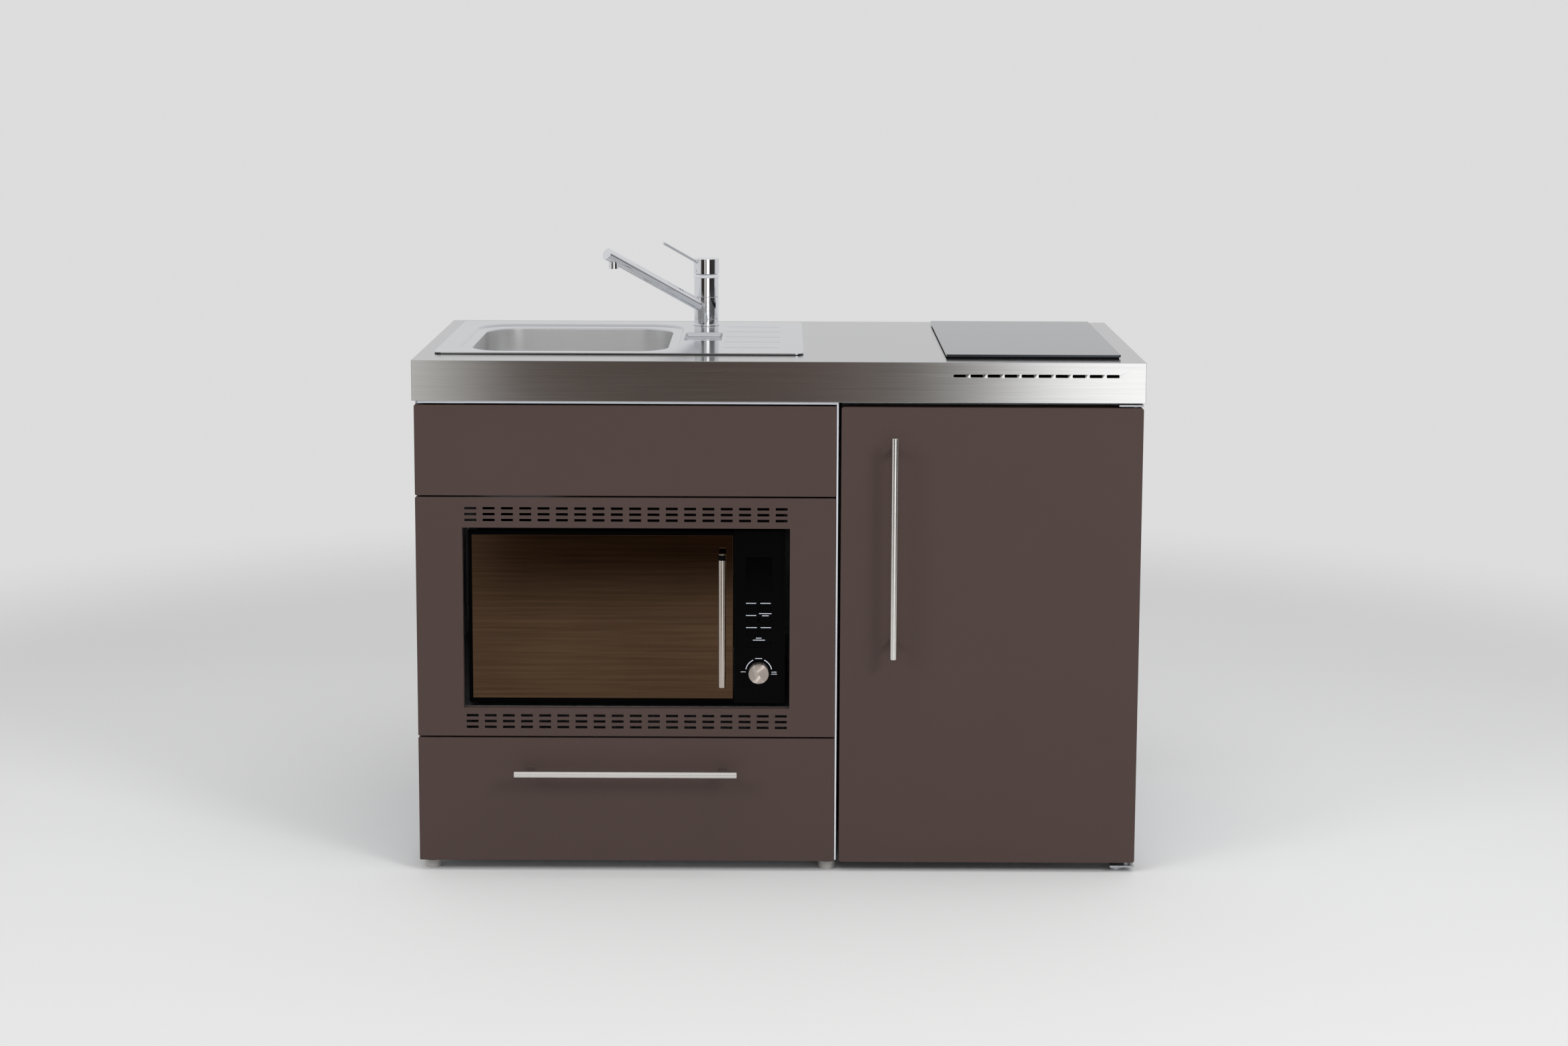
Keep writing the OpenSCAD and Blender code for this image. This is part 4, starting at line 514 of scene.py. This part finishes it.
edgeOf = {  # millimetres taken off each sharp edge
    "worktop": 0.7, "hob_glass": 0.5, "hob_casing": 0.4, "sink_fascia": 1.0, "oven_surround": 0.45,
    "drawer_front": 1.0, "fridge_door": 1.2, "side_panel_left": 0.4, "side_panel_right": 0.4, "back_panel": 0.3,
    "floor_panel": 0.5, "top_rails": 0.4, "cabinet_feet": 0.8, "oven_case": 0.5, "oven_cavity": 0.6,
    "oven_panel": 0.5, "oven_door": 0.6, "oven_door_glass": 0.6, "drawer_box": 0.4, "drawer_rails": 0.3,
    "drawer_runners": 0.3, "tap_body": 0.5, "tap_spout": 0.6, "tap_aerator": 0.4, "tap_stem": 0.2,
    "tap_cap": 0.7, "tap_lever": 0.4, "waste_fitting": 0.4, "strainer_basket": 0.3, "bottle_trap": 0.8,
    "fridge_case": 1.5, "fridge_liner": 2.0, "fridge_door_liner": 2.0, "fridge_gasket": 1.0,
    "fridge_shelves": 0.8, "fridge_compressor": 1.0, "fridge_hinges": 0.5, "thermostat_knob": 1.0,
    "turntable": 1.0, "roller_ring": 0.8, "cooling_fan": 0.3, "oven_power_unit": 0.8, "turntable_motor": 0.8,
    "drawer_handle": 0.6, "fridge_handle": 0.6, "oven_handle": 0.6, "oven_knob": 0.7}
edgeOf.update({"oven_button_%d" % key: 0.35 for key in range(1, 8)})
dressed = {name: dressNode(name, edge) for name, edge in edgeOf.items()}
dressed["drawer_handle"].data.materials[0] = barSteelAcross
dressed["oven_door"].data.materials[0] = blackMatt  # its top edge would mirror the light behind the unit
print("the CAD parts' edges are broken:", len(dressed))


def mapBrush(piece):
    # U along the brush lines: along X on the top and the front, along Y on the ends
    layer = piece.data.uv_layers.new(name="brushMap")
    for face in piece.data.polygons:
        end = abs(face.normal.x) > 0.7  # faces to the left or the right
        for loop in face.loop_indices:
            at = piece.data.vertices[piece.data.loops[loop].vertex_index].co
            layer.data[loop].uv = (at.y, at.z) if end else (at.x, at.y + at.z)


mapBrush(dressed["worktop"])


def mapSpun(piece):
    # U round the knob's axis, so that its anisotropic sheen fans out from the middle, and the painted highlight
    # wedges go round it
    low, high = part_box("oven_knob")
    middle = (low + high) / 2
    layer = piece.data.uv_layers.new(name="spunMap")
    for face in piece.data.polygons:
        start = math.atan2(face.center.z - middle.z, face.center.x - middle.x)
        for loop in face.loop_indices:
            at = piece.data.vertices[piece.data.loops[loop].vertex_index].co
            turn = math.atan2(at.z - middle.z, at.x - middle.x)
            turn += 2 * math.pi * round((start - turn) / (2 * math.pi))
            layer.data[loop].uv = (turn, math.hypot(at.x - middle.x, at.z - middle.z))


# The sink is pressed from one sheet. In millimetres: X from the worktop's middle, depth from its front face.
# A box is (left, right, front, back), a hole is (x, depth, radius), and a step is (inwards, down).
sinkForm = {
    "rimCorner": 14, "rimLip": 0.5, "rimDrop": 1.8, "sheet": 1.0,
    "ledge": (-540, -169, 108, 516),
    "ledgeSteps": [(0.7, 0.15), (0.9, 0.75), (0.9, 0.95), (0.8, 0.6), (0.6, 0.15)],
    "bowl": (-522, -186, 126, 476), "bowlCorner": 65, "lipRadius": 2.5, "lipCuts": 5, "draft": 1.0,
    "floorZ": 713, "floorRadius": 26, "floorCuts": 8, "floorSteps": [(15, 0.5), (13, 0.5)],
    "waste": (-354, 282, 45), "wasteCorners": 48,
    "pocket": (-165, -99, 263, 389), "pocketCorner": 10,
    "pocketSteps": [(0.6, 0.2), (0.9, 1.0), (0.9, 1.9), (0.8, 2.0), (1.0, 1.3), (1.6, 0.6)],
    "slot": (-151, -113, 320, 332), "slotCorner": 5, "slotSteps": [(0.3, 0.3), (0.2, 0.9)],
    "grooveEnds": (-95, 3), "grooveMiddle": 321.5, "groovePitch": 78, "grooveCount": 5, "grooveWidth": 8,
    "grooveSteps": [(0.6, 0.15), (1.0, 0.7), (0.9, 0.35), (0.7, 0.1)],
    "tapHole": (-132, 508, 17), "tapCorners": 32,
    "bowlFinishAndLight": (2, 1.5)}  # the rougher finish and the painted lighter tint start this far outside the bowl, and this far below its lip
depthZero = -282  # the worktop's front face, in millimetres
hair = 1e-6  # metres, for comparing places


def addOutline(name, box, radius, z, segments):
    # a flat face with round corners
    x0, x1, d0, d1 = box
    bpy.ops.mesh.primitive_plane_add(size=1)
    piece = named(name)
    piece.scale = ((x1 - x0) * mm, (d1 - d0) * mm, 1)
    piece.location = ((x0 + x1) / 2 * mm, ((d0 + d1) / 2 + depthZero) * mm, z * mm)
    settle(piece)
    openWhole(piece, "VERT")
    bpy.ops.mesh.bevel(offset=radius * mm, segments=segments, affect="VERTICES")
    closePiece()
    return piece


def addHole(name, x, depth, radius, z, corners):
    # a ring of edges without a face
    bpy.ops.mesh.primitive_circle_add(vertices=corners, radius=radius * mm,
                                      location=(x * mm, (depth + depthZero) * mm, z * mm))
    hole = named(name)
    settle(hole)
    return hole


def pressDown(piece, steps):
    # each step moves the inner face in and down
    openWhole(piece)
    for inward, down in steps:
        bpy.ops.mesh.inset(thickness=inward * mm, depth=-down * mm, use_even_offset=True)
    closePiece()


def dropFace(piece, test):
    openPiece(piece)
    pick(piece, "faces", test)
    bpy.ops.mesh.delete(type="ONLY_FACE")
    closePiece()


def dropFloor(piece):
    # the innermost face is the lowest of those with the most corners
    most = max(len(face.vertices) for face in piece.data.polygons)
    lowest = min(face.center.z for face in piece.data.polygons)
    dropFace(piece, lambda face: len(face.verts) == most and face.calc_center_median().z < lowest + hair)


def dropBiggest(piece):
    areas = [face.area for face in piece.data.polygons]
    biggest = areas.index(max(areas))
    dropFace(piece, lambda face: face.index == biggest)


def bridge(piece, test):
    openPiece(piece, "EDGE")
    pick(piece, "edges", test)
    bpy.ops.mesh.bridge_edge_loops()
    closePiece()


def freeAt(z, slack):
    # tells the free edges at one height, in metres
    return lambda edge: len(edge.link_faces) == 1 and all(abs(vert.co.z - z) < slack for vert in edge.verts)


def arcSteps(radius, count, outer):
    # a quarter turn, from level to upright when outer, from upright to level when not
    steps = []
    for i in range(count):
        a, b = (math.pi / 2 * k / count for k in (i, i + 1))
        if outer:
            steps.append((radius * (math.sin(b) - math.sin(a)), radius * (math.cos(a) - math.cos(b))))
        else:
            steps.append((radius * (math.cos(a) - math.cos(b)), radius * (math.sin(b) - math.sin(a))))
    return steps


def makeDish(top):
    # the ledge, and the bowl from its lip down to the waste
    form = sinkForm
    lipZ = top - sum(step[1] for step in form["ledgeSteps"])
    bowl = addOutline("bowl", form["bowl"], form["bowlCorner"], lipZ, 11)
    wall = lipZ - form["lipRadius"] - form["floorRadius"] - form["floorZ"]
    turn = form["floorRadius"] - sum(step[1] for step in form["floorSteps"])
    pressDown(bowl, arcSteps(form["lipRadius"], form["lipCuts"], True) + [(form["draft"], wall)]
              + arcSteps(turn, form["floorCuts"], False) + form["floorSteps"])
    dropFloor(bowl)
    hole = addHole("wasteHole", *form["waste"], form["floorZ"], form["wasteCorners"])
    floorZ = min(vertex.co.z for vertex in bowl.data.vertices)
    bowl = joined("bowl", [bowl, hole])
    bridge(bowl, lambda edge: len(edge.link_faces) < 2 and edge.verts[0].co.z < floorZ + 2 * mm)
    ledge = addOutline("ledge", form["ledge"], form["bowlCorner"], top, 11)
    pressDown(ledge, form["ledgeSteps"])
    dropFloor(ledge)
    dish = joined("dish", [ledge, bowl])
    bridge(dish, freeAt(lipZ * mm, 10 * hair))
    return dish, lipZ


def makePocket(top):
    # the small drain pocket and the slot in its floor
    form = sinkForm
    pocket = addOutline("pocket", form["pocket"], form["pocketCorner"], top, 7)
    pressDown(pocket, form["pocketSteps"])
    pocketZ = min(vertex.co.z for vertex in pocket.data.vertices)
    dropFloor(pocket)
    slot = addOutline("slot", form["slot"], form["slotCorner"], pocketZ / mm, 7)
    pressDown(slot, form["slotSteps"])
    dropFloor(slot)
    pocket = joined("pocket", [pocket, slot])
    bridge(pocket, freeAt(pocketZ, hair))
    return pocket


def makeGroove(top, index):
    form = sinkForm
    half = form["grooveWidth"] / 2
    middle = form["grooveMiddle"] + (index - (form["grooveCount"] - 1) / 2) * form["groovePitch"]
    groove = addOutline("groove", (*form["grooveEnds"], middle - half, middle + half), half - 0.1, top, 5)
    pressDown(groove, form["grooveSteps"])
    return groove


def makeRim(box, top):
    # the outline that the flat deck is filled from
    edge = addOutline("edge", box, sinkForm["rimCorner"], top, 9)
    openWhole(edge)
    bpy.ops.mesh.inset(thickness=sinkForm["rimLip"] * mm, depth=0)
    closePiece()
    dropBiggest(edge)
    return edge


def fillDeck(deck, low, high, top):
    slack = sinkForm["rimLip"] / 2 * mm

    def level(vert):
        return abs(vert.co.z - top * mm) < hair

    def inside(vert):
        return (low.x + slack < vert.co.x < high.x - slack
                and low.y + slack < vert.co.y < high.y - slack)

    openPiece(deck, "EDGE")
    pick(deck, "edges", lambda edge: len(edge.link_faces) < 2
         and all(level(vert) and inside(vert) for vert in edge.verts))
    bpy.ops.mesh.fill(use_beauty=True)
    # the rim's edge is turned down to the seal
    pick(deck, "edges", lambda edge: len(edge.link_faces) == 1
         and all(level(vert) for vert in edge.verts) and not all(inside(vert) for vert in edge.verts))
    bpy.ops.mesh.extrude_region_move(TRANSFORM_OT_translate={"value": (0, 0, -sinkForm["rimDrop"] * mm)})
    bpy.ops.mesh.select_all(action="SELECT")
    bpy.ops.mesh.remove_doubles(threshold=0.002 * mm)
    bpy.ops.mesh.normals_make_consistent(inside=False)
    closePiece()
    # an open sheet can come out face down
    if sum(face.normal.z * face.area for face in deck.data.polygons) < 0:
        openWhole(deck)
        bpy.ops.mesh.flip_normals()
        closePiece()


def paintSink(deck, lipZ):
    deck.data.materials.clear()
    deck.data.materials.append(deckSteel)
    deck.data.materials.append(bowlSatinAndPaintedLight)
    left, right = (x * mm for x in sinkForm["bowl"][:2])
    margin, down = sinkForm["bowlFinishAndLight"]
    # faces of the bowl below its lip take the rougher steel, whose lighter tint is painted light
    for face in deck.data.polygons:
        across = left - margin * mm < face.center.x < right + margin * mm
        below = face.center.z < (lipZ - down) * mm
        face.material_index = 1 if across and below else 0


def makeSink():
    low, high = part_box("sink")
    top = high.z / mm
    dish, lipZ = makeDish(top)
    pieces = [dish, makePocket(top)]
    pieces += [makeGroove(top, index) for index in range(sinkForm["grooveCount"])]
    rim = makeRim((low.x / mm, high.x / mm, low.y / mm - depthZero, high.y / mm - depthZero), top)
    tapHole = addHole("tapHole", *sinkForm["tapHole"], top, sinkForm["tapCorners"])
    deck = joined("sinkDeck", [rim, tapHole] + pieces)
    fillDeck(deck, low, high, top)
    shell = deck.modifiers.new("sheet", "SOLIDIFY")
    shell.thickness = sinkForm["sheet"] * mm
    shell.offset = -1
    applyAll(deck)
    paintSink(deck, lipZ)
    smooth(deck, 50)
    return dress(deck, "unit", nodes=["sink"])


makeSink()
print("the sink is pressed")


# print on the oven's panel, in millimetres; heights are above the knob's middle
panelMarks = {
    "middle": -31.45, "knobZ": 338.7, "lineHeight": 1.15, "thickness": 0.12, "roundEnd": 0.5,
    # each line of print as (left, right, height)
    "lines": [(-21.4, -4.4, 116.0), (2.3, 19.7, 116.0), (-21.4, -4.4, 95.4), (0.2, 20.9, 98.6), (5.2, 16.4, 95.0),
              (-21.4, -3.0, 74.9), (3.0, 20.3, 74.9), (-4.7, 4.4, 57.1), (-9.9, 10.4, 53.7),
              (-6.1, 5.9, 22.4), (-30.0, -21.2, -0.2), (21.2, 29.6, -0.6), (20.6, 30.2, -4.0)],
    "arcRadius": 21.7, "arcWidth": 1.5, "arcs": [(115, 169), (11, 65)]}


def arcBar(radius, width, thickness, start, stop):
    # a flat band along part of a circle, upright about the origin, with its angles from +X towards +Z
    bpy.ops.mesh.primitive_plane_add(size=1)
    arc = named("arc")
    arc.scale = (width * mm, thickness * mm, 1)
    arc.location = (radius * mm, 0, 0)
    settle(arc)
    arc.rotation_euler = (0, -math.radians(start), 0)
    settle(arc)
    openWhole(arc)
    bpy.ops.mesh.spin(steps=14, angle=math.radians(stop - start), center=(0, 0, 0), axis=(0, 1, 0))
    bpy.ops.mesh.select_all(action="SELECT")
    bpy.ops.mesh.normals_make_consistent(inside=False)
    closePiece()
    return arc


def makeMarks():
    marks = panelMarks
    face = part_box("oven_panel")[0].y / mm
    depth = (face - marks["thickness"] / 2) * mm
    pieces = []
    for left, right, up in marks["lines"]:
        bpy.ops.mesh.primitive_cube_add(size=1)
        bar = named("line")
        bar.scale = ((right - left) * mm, marks["thickness"] * mm, marks["lineHeight"] * mm)
        bar.location = ((marks["middle"] + (left + right) / 2) * mm, depth, (marks["knobZ"] + up) * mm)
        settle(bar)
        openPiece(bar, "EDGE")
        pick(bar, "edges", lambda edge: abs(edge.verts[0].co.y - edge.verts[1].co.y) > marks["thickness"] / 2 * mm)
        bpy.ops.mesh.bevel(offset=marks["roundEnd"] * mm, segments=3)
        closePiece()
        pieces.append(bar)
    for start, stop in marks["arcs"]:
        arc = arcBar(marks["arcRadius"], marks["arcWidth"], marks["thickness"], start, stop)
        arc.location = (marks["middle"] * mm, depth, marks["knobZ"] * mm)
        settle(arc)
        pieces.append(arc)
    return dress(joined("panelMarks", pieces), "unit", printWhite)


makeMarks()

displayWindow = {"middle": -31.45, "width": 42.6, "low": 476.4, "high": 532.0, "recess": 1.0, "thickness": 0.7,
                 "edge": 0.2}


def makeWindow():
    form = displayWindow
    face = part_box("oven_panel")[0].y / mm
    bpy.ops.mesh.primitive_cube_add(size=1)
    pane = named("displayWindow")
    pane.scale = (form["width"] * mm, form["thickness"] * mm, (form["high"] - form["low"]) * mm)
    pane.location = (form["middle"] * mm, (face + form["recess"] - form["thickness"] / 2) * mm,
                     (form["high"] + form["low"]) / 2 * mm)
    settle(pane)
    softEdges(pane, form["edge"])
    smooth(pane)
    return dress(pane, "unit", windowGlass)


makeWindow()


# painted highlight: brighter wedges of colour on the knob, standing in for the spun metal's sheen, each as (angle
# in degrees, narrowness, strength)
knobPaintedHighlight = {"base": 0.85, "fans": [(62, 26.0, 0.75), (118, 110.0, 0.35)]}


def paintFanHighlight(material, mapName):
    tree = material.node_tree
    shader = tree.nodes["Principled BSDF"]
    pattern = next(item for item in tree.nodes if item.type == "GROUP")
    spot = add(tree, "ShaderNodeUVMap", uv_map=mapName)
    split = add(tree, "ShaderNodeSeparateXYZ")
    wire(tree, spot, "UV", split, 0)
    total = add(tree, "ShaderNodeValue")
    total.outputs[0].default_value = knobPaintedHighlight["base"]
    for angle, narrow, strength in knobPaintedHighlight["fans"]:
        offset = add(tree, "ShaderNodeMath", {1: math.radians(angle)}, operation="SUBTRACT")
        wire(tree, split, "X", offset, 0)
        twice = add(tree, "ShaderNodeMath", {1: 2.0}, operation="MULTIPLY")
        wire(tree, offset, 0, twice, 0)
        wave = add(tree, "ShaderNodeMath", operation="COSINE")
        wire(tree, twice, 0, wave, 0)
        raised = add(tree, "ShaderNodeMath", {1: 0.5, 2: 0.5}, operation="MULTIPLY_ADD")
        wire(tree, wave, 0, raised, 0)
        wedge = add(tree, "ShaderNodeMath", {1: narrow}, operation="POWER")
        wire(tree, raised, 0, wedge, 0)
        added = add(tree, "ShaderNodeMath", {1: strength}, operation="MULTIPLY_ADD")
        wire(tree, wedge, 0, added, 0)
        wire(tree, total, 0, added, 2)
        total = added
    # the wedges multiply the knob's base colour: a painted highlight
    tint = add(tree, "ShaderNodeVectorMath", operation="MULTIPLY")
    wire(tree, pattern, "Color", tint, 0)
    wire(tree, total, 0, tint, 1)
    wire(tree, tint, 0, shader, "Base Color")


def dressKnob():
    knob = dressed["oven_knob"]
    mapSpun(knob)
    paintFanHighlight(knobSteel, "spunMap")
    knob.data.materials[0] = knobSteel


dressKnob()


ringDrop = (0.9, 10.2)  # the black ring, in millimetres below the top of the bar


def bandBar():
    # a black ring near the top of the oven's bar
    bar = dressed["oven_handle"]
    bar.data.materials[0] = barSteelWarm
    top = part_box("oven_handle")[1].z
    openPiece(bar)
    for down in ringDrop:
        bpy.ops.mesh.select_all(action="SELECT")
        bpy.ops.mesh.bisect(plane_co=(0, 0, top - down * mm), plane_no=(0, 0, 1))
    closePiece()
    bar.data.materials.append(blackGloss)
    high, low = (top - down * mm for down in ringDrop)
    for face in bar.data.polygons:
        if low < face.center.z < high and abs(face.normal.z) < 0.9:
            face.material_index = 1


bandBar()
print("the oven's front is done")


# the printed rings of the hob's two zones, four arcs to a ring, in millimetres and degrees
zoneMarks = {"width": 1.2, "thickness": 0.05, "proud": 0.04, "inset": 4, "arc": 34, "turns": (28, 118, 208, 298)}


def makeZoneMarks():
    marks = zoneMarks
    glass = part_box("hob_glass")
    middle = (glass[0] + glass[1]) / 2
    z = glass[1].z - marks["thickness"] / 2 * mm + marks["proud"] * mm
    heaters = frame["nodes"]["hob_heaters"].data.vertices
    pieces = []
    for side in (-1, 1):
        zone = [vertex.co for vertex in heaters if (vertex.co.y - middle.y) * side > 0]
        low = [min(at[axis] for at in zone) for axis in (0, 1)]
        high = [max(at[axis] for at in zone) for axis in (0, 1)]
        radius = (high[0] - low[0]) / 2 / mm - marks["inset"]
        for turn in marks["turns"]:
            arc = arcBar(radius, marks["width"], marks["thickness"], turn, turn + marks["arc"])
            arc.rotation_euler = (math.radians(90), 0, 0)
            arc.location = ((low[0] + high[0]) / 2, (low[1] + high[1]) / 2, z)
            settle(arc)
            pieces.append(arc)
    return dress(joined("zoneMarks", pieces), "unit", zonePrint)


makeZoneMarks()
print("the hob is marked")
